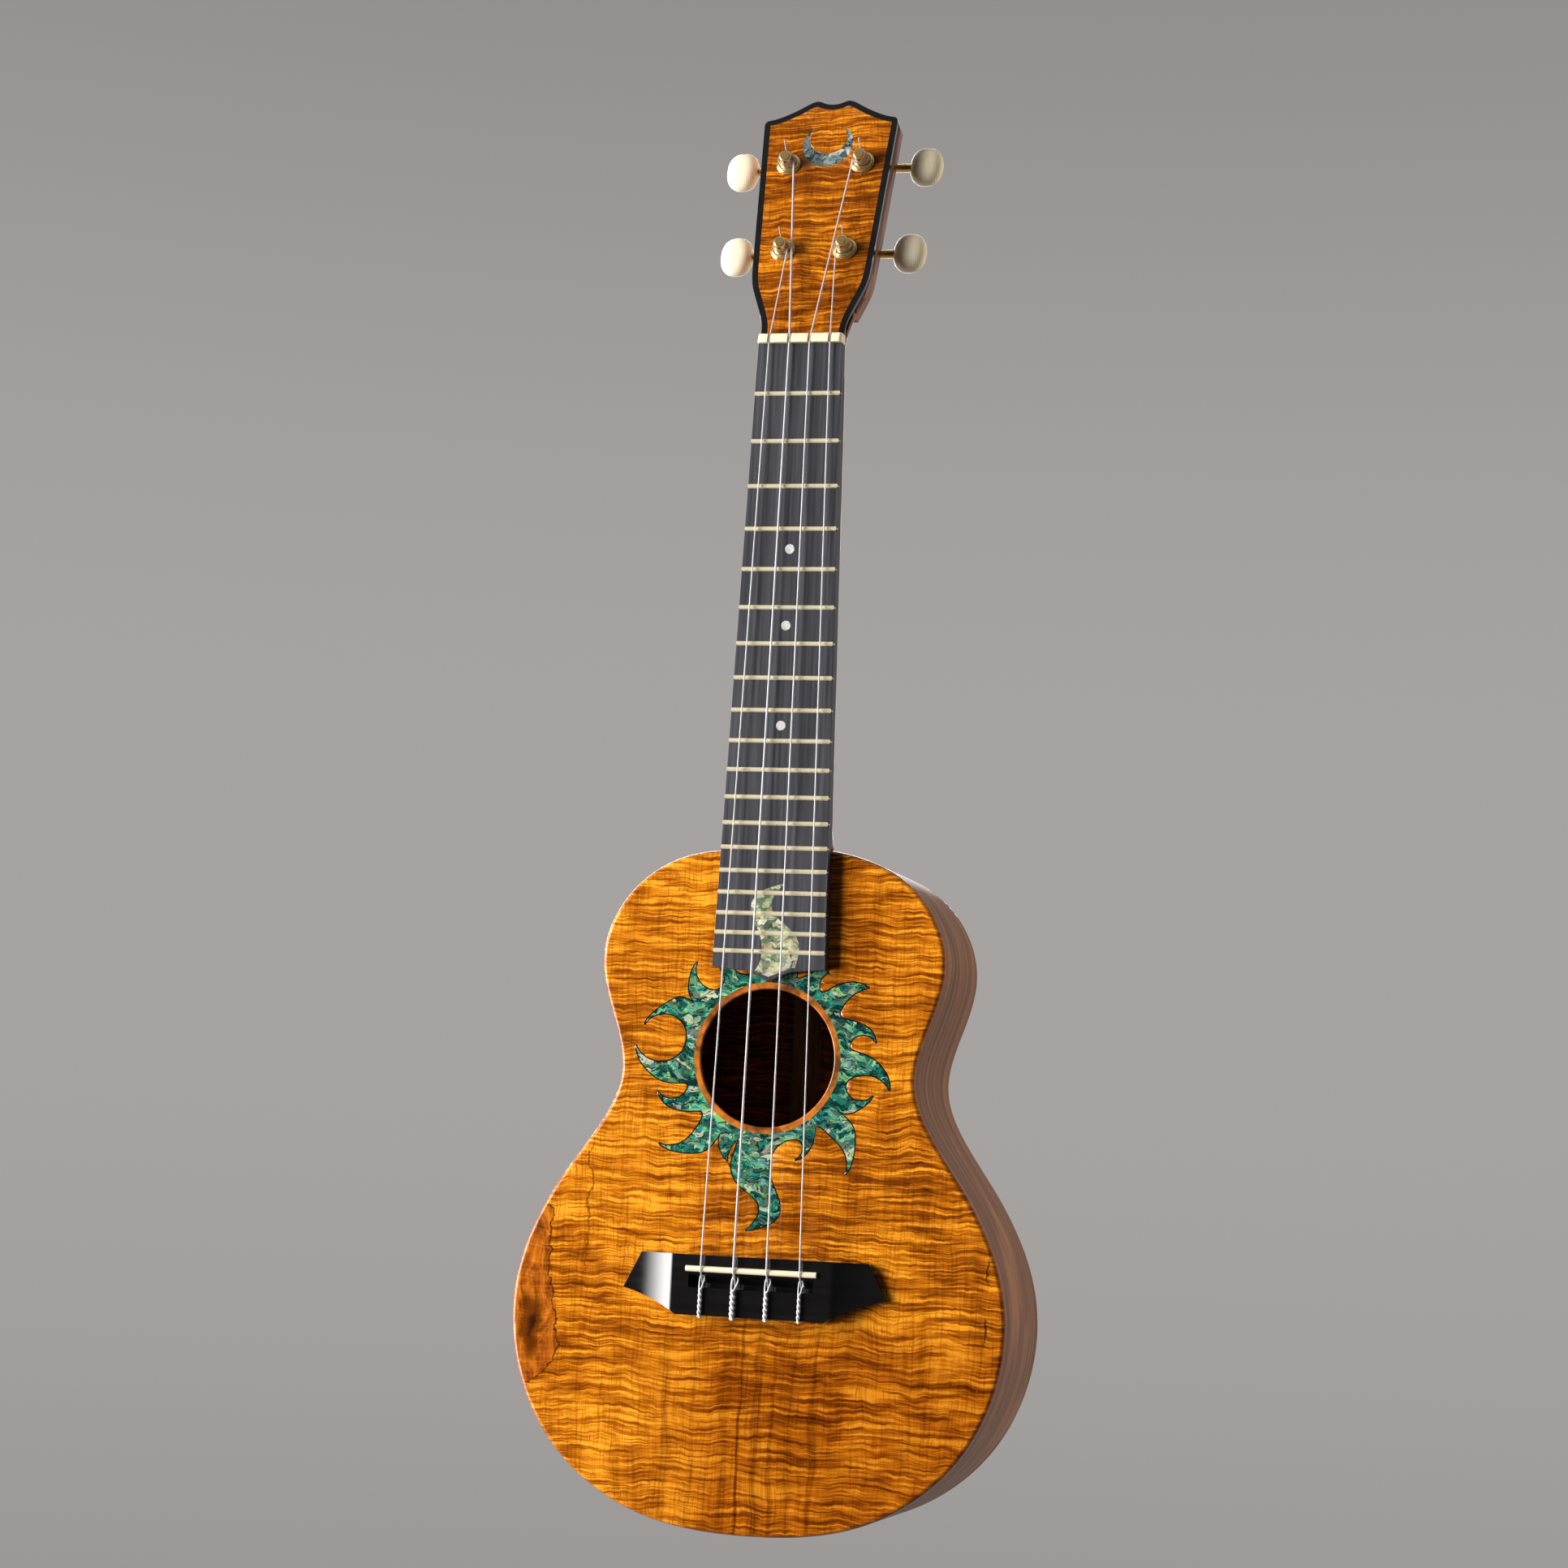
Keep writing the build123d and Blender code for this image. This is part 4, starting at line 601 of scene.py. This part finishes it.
def smoothed(points, steps):
    """A rounded path through points."""
    path = []
    for i in range(len(points) - 1):
        a, b, c, d = (points[min(max(i + k, 0), len(points) - 1)] for k in (-1, 0, 1, 2))
        for k in range(steps):
            t = k / steps
            path.append(0.5 * (2 * b + (c - a) * t + (2 * a - 5 * b + 4 * c - d) * t * t
                               + (3 * b - a - 3 * c + d) * t ** 3))
    return path + [points[-1]]


def bead(place, radius):
    """A small smooth ball."""
    bm = bmesh.new()
    bmesh.ops.create_uvsphere(bm, u_segments=14, v_segments=10, radius=radius)
    bmesh.ops.translate(bm, verts=bm.verts, vec=place)
    mesh = bpy.data.meshes.new("bead")
    bm.to_mesh(mesh)
    bm.free()
    return mesh


def merged(meshes, name):
    """Several meshes as one."""
    bm = bmesh.new()
    for mesh in meshes:
        bm.from_mesh(mesh)
        bpy.data.meshes.remove(mesh)
    made = bpy.data.meshes.new(name)
    bm.to_mesh(made)
    bm.free()
    made.shade_smooth()
    return made


def arc_between(before, corner, after, radius):
    """Points that round a corner."""
    to_before, to_after = (before - corner).normalized(), (after - corner).normalized()
    half = to_before.angle(to_after) / 2
    reach = radius / math.tan(half)
    start, end = corner + to_before * reach, corner + to_after * reach
    centre = corner + (to_before + to_after).normalized() * (radius / math.sin(half))
    aways = ((start - centre).lerp(end - centre, i / ARC_STEPS).normalized() for i in range(ARC_STEPS + 1))
    return [centre + away * radius for away in aways]


# ---------------------------------------------------------------- tuner frames
def joint_named(name):
    """A joint of the frame."""
    return next(joint for joint in frame["joints"] if joint["name"] == name)


def head_axes():
    """Across, up the headstock's face and out of it."""
    out = Vector(joint_named("tuner_3_post_turn")["axis"]).normalized()
    across = Vector((1, 0, 0))
    return across, out.cross(across), out


# How much thinner than the thickest string each string is, as a share of the whole range
THINNER = {1: 24 / 30, 2: 0.0, 3: 16 / 30, 4: 1.0}


def string_size(number):
    """A string's diameter."""
    sizes = bpy.context.scene.uke_strings
    return sizes.thick - (sizes.thick - sizes.thin) * THINNER[number]


# ---------------------------------------------------------------- node trees
def coil_tree():
    """Geometry nodes that wind a wire into a coil along Z."""
    tree = bpy.data.node_groups.new("Coil", "GeometryNodeTree")
    face = tree.interface
    face.new_socket("Geometry", in_out="INPUT", socket_type="NodeSocketGeometry")
    inputs = {}
    for name, kind, value in (("Turns", "NodeSocketFloat", 3.0),
                              ("Coil radius", "NodeSocketFloat", 0.003),
                              ("Wire radius", "NodeSocketFloat", 0.0004),
                              ("Height", "NodeSocketFloat", 0.002),
                              ("Finish", "NodeSocketMaterial", None)):
        made = face.new_socket(name, in_out="INPUT", socket_type=kind)
        if value is not None:
            made.default_value = value
        inputs[name] = made.identifier
    face.new_socket("Geometry", in_out="OUTPUT", socket_type="NodeSocketGeometry")
    nodes, links = tree.nodes, tree.links
    given = nodes.new("NodeGroupInput")
    spiral = nodes.new("GeometryNodeCurveSpiral")
    spiral.inputs["Resolution"].default_value = 28
    links.new(given.outputs["Turns"], spiral.inputs["Rotations"])
    links.new(given.outputs["Coil radius"], spiral.inputs["Start Radius"])
    links.new(given.outputs["Coil radius"], spiral.inputs["End Radius"])
    links.new(given.outputs["Height"], spiral.inputs["Height"])
    circle = nodes.new("GeometryNodeCurvePrimitiveCircle")
    circle.inputs["Resolution"].default_value = 10
    links.new(given.outputs["Wire radius"], circle.inputs["Radius"])
    sweep = nodes.new("GeometryNodeCurveToMesh")
    sweep.inputs["Fill Caps"].default_value = True
    links.new(spiral.outputs[0], sweep.inputs["Curve"])
    links.new(circle.outputs[0], sweep.inputs["Profile Curve"])
    real = nodes.new("GeometryNodeRealizeInstances")
    links.new(sweep.outputs[0], real.inputs[0])
    finish = nodes.new("GeometryNodeSetMaterial")
    links.new(real.outputs[0], finish.inputs["Geometry"])
    links.new(given.outputs["Finish"], finish.inputs["Material"])
    result = nodes.new("NodeGroupOutput")
    links.new(finish.outputs[0], result.inputs[0])
    return tree, inputs


def grown(made_tree, name, **values):
    """Runs a node tree on an empty mesh and returns what it makes as a plain mesh."""
    tree, identifiers = made_tree
    work = bpy.data.objects.new(name, bpy.data.meshes.new(name))
    bpy.context.scene.collection.objects.link(work)
    maker = work.modifiers.new("Maker", "NODES")
    maker.node_group = tree
    for key, value in values.items():
        maker[identifiers[key.replace("_", " ")]] = value
    mesh = plain_mesh(work, name)
    mesh.shade_smooth()
    return mesh


# ---------------------------------------------------------------- operators
class UKE_OT_body(bpy.types.Operator):
    """Finish the sound box: soundboard, ring, sides, back and what is inside"""

    bl_idname = "uke.body"
    bl_label = "Sound box"

    def execute(self, context):
        skin("back_plate", finish="koa_back")
        for node in ("soundboard", "side_left", "side_right", "soundhole_ring", "neck_block", "end_block",
                     "linings_front", "linings_back", "soundboard_braces", "bridge_plate", "back_bracing",
                     "neck_bolt", "neck_insert"):
            skin(node)
        return {"FINISHED"}


class UKE_OT_inlays(bpy.types.Operator):
    """Finish the shell inlays and their lines"""

    bl_idname = "uke.inlays"
    bl_label = "Inlays"

    def execute(self, context):
        for node in ("sun_inlay", "sun_border", "position_dots"):
            skin(node)
        skin("fretboard_inlay", finish="shell_gold")
        skin("headstock_inlay", finish="shell_grey")
        return {"FINISHED"}


class UKE_OT_neck(bpy.types.Operator):
    """Finish the neck, heel cap, headstock, fretboard, frets and nut"""

    bl_idname = "uke.neck"
    bl_label = "Neck"

    def execute(self, context):
        edge = context.scene.uke_hardware.edge
        skin("neck", angle=40)
        skin("heel_cap", edge)
        skin("headstock_face")
        skin("headstock_binding", edge)
        skin("fretboard", edge)
        skin("frets")
        skin("nut", edge * 0.6)
        return {"FINISHED"}


class UKE_OT_bridge(bpy.types.Operator):
    """Finish the bridge and saddle"""

    bl_idname = "uke.bridge"
    bl_label = "Bridge"

    def execute(self, context):
        edge = context.scene.uke_hardware.edge
        skin("bridge", edge, segments=3)
        skin("saddle")
        return {"FINISHED"}


# Where a string lies in its nut slot, measured from the nut's top and lower edge
NUT_SLOT_DEPTH, NUT_SLOT_UP = 0.9 * MM, 1.2 * MM
# The string hole through the bridge, above the soundboard and the bridge's lower edge, and the knot's end
TIE_HOLE_HEIGHT, TIE_HOLE_UP, TIE_UP = 4.2 * MM, 11.1 * MM, 10.4 * MM
# Where the first turn starts round a post, and how high the cut end stands out of it
FIRST_TURN, WHISKER_HEIGHT = math.radians(110), 6.0 * MM


class UKE_OT_strings(bpy.types.Operator):
    """Make the four strings with their knots on the tie block"""

    bl_idname = "uke.strings"
    bl_label = "Strings"

    def execute(self, context):
        coil = coil_tree()
        for number in range(1, 5):
            wire = string_size(number) / 2
            self.run(context.scene, coil, number, wire)
            self.winding(context.scene, coil, number, wire)
        return {"FINISHED"}

    def run(self, scene, coil, number, wire):
        """One string from where it leaves its post, over nut and saddle, to its knot on the tie block."""
        sizes = scene.uke_strings
        slot = number - 2.5
        nut_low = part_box("nut")[0]
        saddle_low, saddle_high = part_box("saddle")
        bridge_low, bridge_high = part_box("bridge")
        bend = Vector((slot * sizes.nut_spacing, nut_low.y + NUT_SLOT_DEPTH, nut_low.z + NUT_SLOT_UP))
        meet = self.leaves_post(scene, number, bend, wire)
        across = slot * sizes.saddle_spacing
        crest = Vector((across, saddle_low.y - wire, (saddle_low.z + saddle_high.z) / 2))
        hole = Vector((across, bridge_high.y - TIE_HOLE_HEIGHT, bridge_low.z + TIE_HOLE_UP))
        behind = Vector((across, hole.y, bridge_low.z - wire - 0.3 * MM))
        lid = Vector((across, bridge_low.y - wire - 0.05 * MM, behind.z))
        tie = Vector((across, lid.y, bridge_low.z + TIE_UP))
        points = [meet]
        points += arc_between(meet, bend, crest, 3.0 * MM)
        points += arc_between(bend, crest, hole, 1.4 * MM)
        points += arc_between(crest, hole, behind, 2.0 * MM)
        points += arc_between(hole, behind, lid, 2.3 * wire)
        points += arc_between(behind, lid, tie, 2.3 * wire)
        points.append(lid.lerp(tie, 0.2))
        name = f"string_{number}_run"
        piece_from(tube(name, points, wire), name, BODY, "string_nylon", [f"string_{number}"])
        name = f"string_{number}_knot"
        lumps = self.knot(coil, lid, tie, crest.lerp(hole, 0.45), wire)
        piece_from(merged(lumps, name), name, BODY, "string_nylon", finish="string_knot")

    def leaves_post(self, scene, number, bend, wire):
        """Where the straight run from the nut touches the turns on its post."""
        across, up, out = head_axes()
        hardware = scene.uke_hardware
        side = -1 if number < 3 else 1
        post = Vector(joint_named(f"tuner_{number}_post_turn")["pos_m"])
        level = hardware.winding_height + wire * scene.uke_strings.turns
        reach = hardware.post_radius + wire
        flat_x, flat_up = (post - bend).dot(across), (post - bend).dot(up)
        distance = math.hypot(flat_x, flat_up)
        heading = math.atan2(flat_up, flat_x) + side * math.asin(reach / distance)
        along = math.sqrt(distance * distance - reach * reach)
        meet = bend + across * (along * math.cos(heading)) + up * (along * math.sin(heading))
        return meet + out * ((post - bend).dot(out) + level)

    def knot(self, coil, lid, tie, incoming, wire):
        """Two strands twisted over the tie block, the loop round the incoming string and the last bead."""
        strands = []
        for half in (0.0, math.pi):
            mesh = grown(coil, "strand", Turns=2.4, Coil_radius=wire * 1.25, Wire_radius=wire * 1.25,
                         Height=(tie - lid).length * 0.97, Finish=MATERIALS["string_knot"])
            on_lid = Matrix.Translation(lid - Vector((0, wire * 1.2, 0)))
            mesh.transform(on_lid @ Matrix.Rotation(half, 4, "Z"))
            strands.append(mesh)
        top = tie - Vector((0, wire * 1.6, 0))
        bow = [top, top + wire * Vector((1.6, -0.6, 1.6)), incoming + wire * Vector((3.4, 0.0, -2.0)),
               incoming + wire * Vector((2.6, 1.0, 1.6)), incoming + wire * Vector((0.0, 1.9, 2.4)),
               incoming + wire * Vector((-2.0, 0.6, 0.0)), top + wire * Vector((-1.2, -0.4, 1.2)), top]
        strands.append(tube("loop", smoothed(bow, 4), wire * 0.8))
        strands.append(bead(lid + Vector((0, wire * 0.2, wire * 0.6)), wire * 1.9))
        strands.append(bead(top, wire * 1.8))
        return strands

    def winding(self, scene, coil, number, wire):
        """The turns on a post and the cut end of the string."""
        sizes, hardware = scene.uke_strings, scene.uke_hardware
        across, up, out = head_axes()
        post = Vector(joint_named(f"tuner_{number}_post_turn")["pos_m"])
        mesh = grown(coil, "turns", Turns=float(sizes.turns), Coil_radius=hardware.post_radius + wire,
                     Wire_radius=wire, Height=2 * wire * (sizes.turns - 0.6),
                     Finish=MATERIALS["string_turns"])
        axes = Matrix((across, up, out)).transposed().to_4x4()
        place = Matrix.Translation(post + out * (hardware.winding_height + wire)) @ axes
        mesh.transform(place @ Matrix.Rotation(FIRST_TURN, 4, "Z"))
        start = post + out * WHISKER_HEIGHT + up * (hardware.post_radius * 0.6)
        lean = (up * 0.82 + out * 0.42 - across * 0.12).normalized()
        first = start + up * hardware.post_radius * 0.5
        whisker = [start, first, first + lean * sizes.whisker * 0.45,
                   first + lean * sizes.whisker * 0.9 + out * 0.3 * MM]
        name = f"tuner_{number}_turns"
        both = merged([mesh, tube("whisker", whisker, wire)], name)
        piece_from(both, name, f"tuner_{number}_spool", "string_nylon", [f"tuner_{number}_winding"],
                   "string_turns")


# A button's height and thickness beside its width, and the rows and sides of its mesh
BUTTON_TALL, BUTTON_THICK = 1.26, 0.63
BUTTON_ROWS, BUTTON_SIDES = 24, 40


def power(value, squareness):
    """A sine or cosine drawn out towards a squarer outline."""
    return math.copysign(abs(value) ** (2 / squareness), value)


class UKE_OT_tuners(bpy.types.Operator):
    """Finish the geared tuners and shape their oval buttons"""

    bl_idname = "uke.tuners"
    bl_label = "Tuners"

    def execute(self, context):
        skin("tuner_bushings", angle=50)
        skin("tuner_plates", 0.12 * MM)
        skin("tuner_screws")
        for number in range(1, 5):
            for part in ("post", "gear", "gear_screw", "worm_shaft"):
                skin(f"tuner_{number}_{part}")
            self.button(number, context.scene.uke_hardware.button_edge)
        return {"FINISHED"}

    def button(self, number, squareness):
        """A thick oval with softly rounded faces."""
        node = f"tuner_{number}_button"
        key = joint_named(f"tuner_{number}_key_turn")["pos_m"]
        across, up, out = head_axes()
        low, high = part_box(node)
        centre = Vector(((low.x + high.x) / 2, key[1], key[2]))
        wide = (high.x - low.x) / 2
        tall, thick = wide * BUTTON_TALL, wide * BUTTON_THICK
        bm = bmesh.new()
        grid = []
        for i in range(1, BUTTON_ROWS):
            lift = -math.pi / 2 + math.pi * i / BUTTON_ROWS
            flat = power(math.cos(lift), 3.0)
            row = []
            for j in range(BUTTON_SIDES):
                turn = 2 * math.pi * j / BUTTON_SIDES
                point = centre + across * (flat * power(math.cos(turn), squareness) * wide)
                point += up * (flat * power(math.sin(turn), squareness) * tall)
                row.append(bm.verts.new(point + out * (power(math.sin(lift), 2.1) * thick)))
            grid.append(row)
        for a, b in zip(grid[:-1], grid[1:]):
            for j in range(BUTTON_SIDES):
                k = (j + 1) % BUTTON_SIDES
                bm.faces.new((a[j], a[k], b[k], b[j]))
        for row, pole in ((grid[0], -1), (grid[-1], 1)):
            top = bm.verts.new(centre + out * (pole * thick))
            for j in range(BUTTON_SIDES):
                bm.faces.new((row[(j + 1) % BUTTON_SIDES], row[j], top))
        bmesh.ops.recalc_face_normals(bm, faces=bm.faces)
        mesh = bpy.data.meshes.new(node)
        bm.to_mesh(mesh)
        bm.free()
        mesh.shade_smooth()
        piece_from(mesh, node + "_oval", f"tuner_{number}_key", "button_cream", [node])


# The camera's right and up, and the point that every softbox faces
CAMERA_RIGHT, CAMERA_UP = Vector((0.9655, 0.2553, 0.0506)), Vector((-0.0182, -0.1277, 0.9916))
LIT_POINT = Vector((0.0, 0.0, -0.22))
# The backdrop: radius of the cove, height of the wall, steps of the cove and sides of the dish
COVE, WALL = 1.2, 6.0
COVE_STEPS, DISH_SIDES = 16, 96
# The tint of the backdrop's painted glow, and of the light from the studio air
BACKDROP_GLOW_TINT, AIR_TINT = (1.0, 0.945, 0.925, 1.0), (1.0, 0.98, 0.96, 1.0)


class UKE_OT_studio(bpy.types.Operator):
    """Set up the seamless backdrop, the softboxes and the camera"""

    bl_idname = "uke.studio"
    bl_label = "Studio"

    def execute(self, context):
        studio = context.scene.uke_studio
        self.backdrop(studio)
        self.softbox("key", (-1.48, -1.02, 0.0), (0.8, 1.9), studio.key).visible_glossy = False
        warm = (1.0, 0.88, 0.70)
        self.softbox("side", (2.1, 0.9, 0.35), (0.9, 1.5), studio.fill, warm).visible_glossy = False
        self.softbox("rear", (-0.9, 2.2, 0.7), (1.4, 1.6), studio.fill * 1.5)
        self.air()
        data = bpy.data.cameras.new("camera")
        data.lens, data.sensor_width = studio.lens, 36.0
        camera = bpy.data.objects.new("camera", data)
        context.scene.collection.objects.link(camera)
        back = CAMERA_RIGHT.cross(CAMERA_UP).normalized()
        up = back.cross(CAMERA_RIGHT).normalized()
        turn = Matrix((CAMERA_RIGHT.normalized(), up, back)).transposed().to_4x4()
        camera.matrix_world = Matrix.Translation(studio.eye) @ turn
        context.scene.camera = camera
        return {"FINISHED"}

    def worked(self, tree, action, a, b=None):
        """A maths node on one value or two."""
        made = tree.nodes.new("ShaderNodeMath")
        made.operation = action
        tree.links.new(a, made.inputs[0])
        if b is not None:
            tree.links.new(b, made.inputs[1])
        return made.outputs[0]

    def faded(self, tree, value, start, end, low, high):
        """A smooth change from low to high while value goes from start to end."""
        fade = tree.nodes.new("ShaderNodeMapRange")
        fade.interpolation_type = "SMOOTHSTEP"
        tree.links.new(value, fade.inputs["Value"])
        for key, number in (("From Min", start), ("From Max", end), ("To Min", low), ("To Max", high)):
            fade.inputs[key].default_value = number
        return fade.outputs[0]

    def place_parts(self, tree, which):
        """X, Y and Z of one of the texture coordinates."""
        split = tree.nodes.new("ShaderNodeSeparateXYZ")
        tree.links.new(tree.nodes.new("ShaderNodeTexCoord").outputs[which], split.inputs[0])
        return split.outputs

    def backdrop(self, studio):
        """A round dish with a wide cove, so that no horizon shows from any side."""
        floor = CAD_BOX[0].z - studio.floor_drop
        outline = [(studio.room - COVE, floor)]
        for i in range(1, COVE_STEPS + 1):
            turn = math.pi / 2 * i / COVE_STEPS
            outline.append((studio.room - COVE + COVE * math.sin(turn), floor + COVE - COVE * math.cos(turn)))
        outline.append((studio.room, floor + WALL))
        bm = bmesh.new()
        turns = [2 * math.pi * j / DISH_SIDES for j in range(DISH_SIDES)]
        rows = [[bm.verts.new((r * math.cos(turn), r * math.sin(turn), z)) for turn in turns]
                for r, z in outline]
        middle = bm.verts.new((0, 0, floor))
        for j in range(DISH_SIDES):
            k = (j + 1) % DISH_SIDES
            bm.faces.new((middle, rows[0][j], rows[0][k]))
            for a, b in zip(rows[:-1], rows[1:]):
                bm.faces.new((a[j], b[j], b[k], a[k]))
        mesh = bpy.data.meshes.new("backdrop")
        bm.to_mesh(mesh)
        bm.free()
        mesh.shade_smooth()
        mesh.materials.append(self.paper())
        made = bpy.data.objects.new("backdrop", mesh)
        bpy.context.scene.collection.objects.link(made)
        made.visible_diffuse = made.visible_glossy = made.visible_shadow = False

    def paper(self):
        """A backdrop that glows as painted light, seen only by the camera: brightest at the instrument's middle
        height and dimmer above and below, in place of a lit grey sweep.
        """
        paper = bpy.data.materials.new("backdrop_paper")
        paper.use_nodes = True
        tree = paper.node_tree
        tree.nodes.clear()
        glow = tree.nodes.new("ShaderNodeEmission")
        tree.links.new(glow.outputs[0], tree.nodes.new("ShaderNodeOutputMaterial").inputs[0])
        # Painted light: the backdrop glows brightest near the instrument's height and dimmer far above and below
        away = self.worked(tree, "ABSOLUTE", self.place_parts(tree, "Object")[2])
        tree.links.new(self.faded(tree, away, 0.2, 1.6, 0.385, 0.27), glow.inputs["Strength"])
        glow.inputs["Color"].default_value = BACKDROP_GLOW_TINT
        return paper

    def softbox(self, name, place, size, watts, tint=(1, 1, 1)):
        """A soft rectangular lamp that faces the instrument and isn't seen itself."""
        data = bpy.data.lights.new(name, "AREA")
        data.shape, data.size, data.size_y = "RECTANGLE", size[0], size[1]
        data.energy, data.color = watts, tint
        lamp = bpy.data.objects.new(name, data)
        bpy.context.scene.collection.objects.link(lamp)
        lamp.location = Vector(place)
        lamp.rotation_mode = "QUATERNION"
        lamp.rotation_quaternion = (LIT_POINT - Vector(place)).to_track_quat("-Z", "Y")
        lamp.visible_camera = False
        return lamp

    def left_panel(self, tree, x, y, z):
        """A tall white panel far to the left whose light fades out towards the front."""
        far_left = self.faded(tree, x, -0.52, -0.92, 0.0, 11.0)
        not_front = self.faded(tree, y, 0.30, -0.10, 0.0, 1.0)
        level = self.faded(tree, self.worked(tree, "ABSOLUTE", z), 0.50, 0.12, 0.0, 1.0)
        left = self.worked(tree, "MULTIPLY", far_left, not_front)
        return self.worked(tree, "MULTIPLY", left, level)

    def air(self):
        """Soft light from behind, above and the left; the front of the studio is dark."""
        world = bpy.data.worlds.new("studio_air")
        bpy.context.scene.world = world
        world.use_nodes = True
        tree = world.node_tree
        x, y, z = self.place_parts(tree, "Generated")
        behind = self.faded(tree, y, -0.85, 0.25, 0.015, 0.36)
        above = self.faded(tree, z, 0.72, 1.0, 0.0, 0.25)
        total = self.worked(tree, "ADD", behind, above)
        total = self.worked(tree, "ADD", total, self.left_panel(tree, x, y, z))
        glow = tree.nodes["Background"]
        tree.links.new(total, glow.inputs["Strength"])
        glow.inputs["Color"].default_value = AIR_TINT
        bpy.context.scene.view_settings.view_transform = "Standard"


class UKE_PT_panel(bpy.types.Panel):
    """Every step of the finish"""

    bl_idname = "UKE_PT_panel"
    bl_label = "Concert ukulele"
    bl_space_type = "VIEW_3D"
    bl_region_type = "UI"
    bl_category = "Ukulele"

    def draw(self, context):
        for step in STEPS:
            self.layout.operator(step.bl_idname)
        for group in ("uke_woods", "uke_strings", "uke_hardware", "uke_studio"):
            box = self.layout.box()
            settings = getattr(context.scene, group)
            for key in settings.bl_rna.properties.keys():
                if key not in {"rna_type", "name"}:
                    box.prop(settings, key)


GROUPS = {
    "uke_woods": UKE_PG_woods,
    "uke_strings": UKE_PG_strings,
    "uke_hardware": UKE_PG_hardware,
    "uke_studio": UKE_PG_studio,
}
STEPS = (UKE_OT_body, UKE_OT_inlays, UKE_OT_neck, UKE_OT_bridge, UKE_OT_strings, UKE_OT_tuners, UKE_OT_studio)


def register():
    for group in (*GROUPS.values(), *STEPS, UKE_PT_panel):
        bpy.utils.register_class(group)
    for name, group in GROUPS.items():
        setattr(bpy.types.Scene, name, PointerProperty(type=group))


def unregister():
    for name in GROUPS:
        delattr(bpy.types.Scene, name)
    for group in reversed((*GROUPS.values(), *STEPS, UKE_PT_panel)):
        bpy.utils.unregister_class(group)


def main():
    register()
    make_materials()
    for step in STEPS:
        area, action = step.bl_idname.split(".")
        getattr(getattr(bpy.ops, area), action)()


if __name__ == "__main__":
    main()
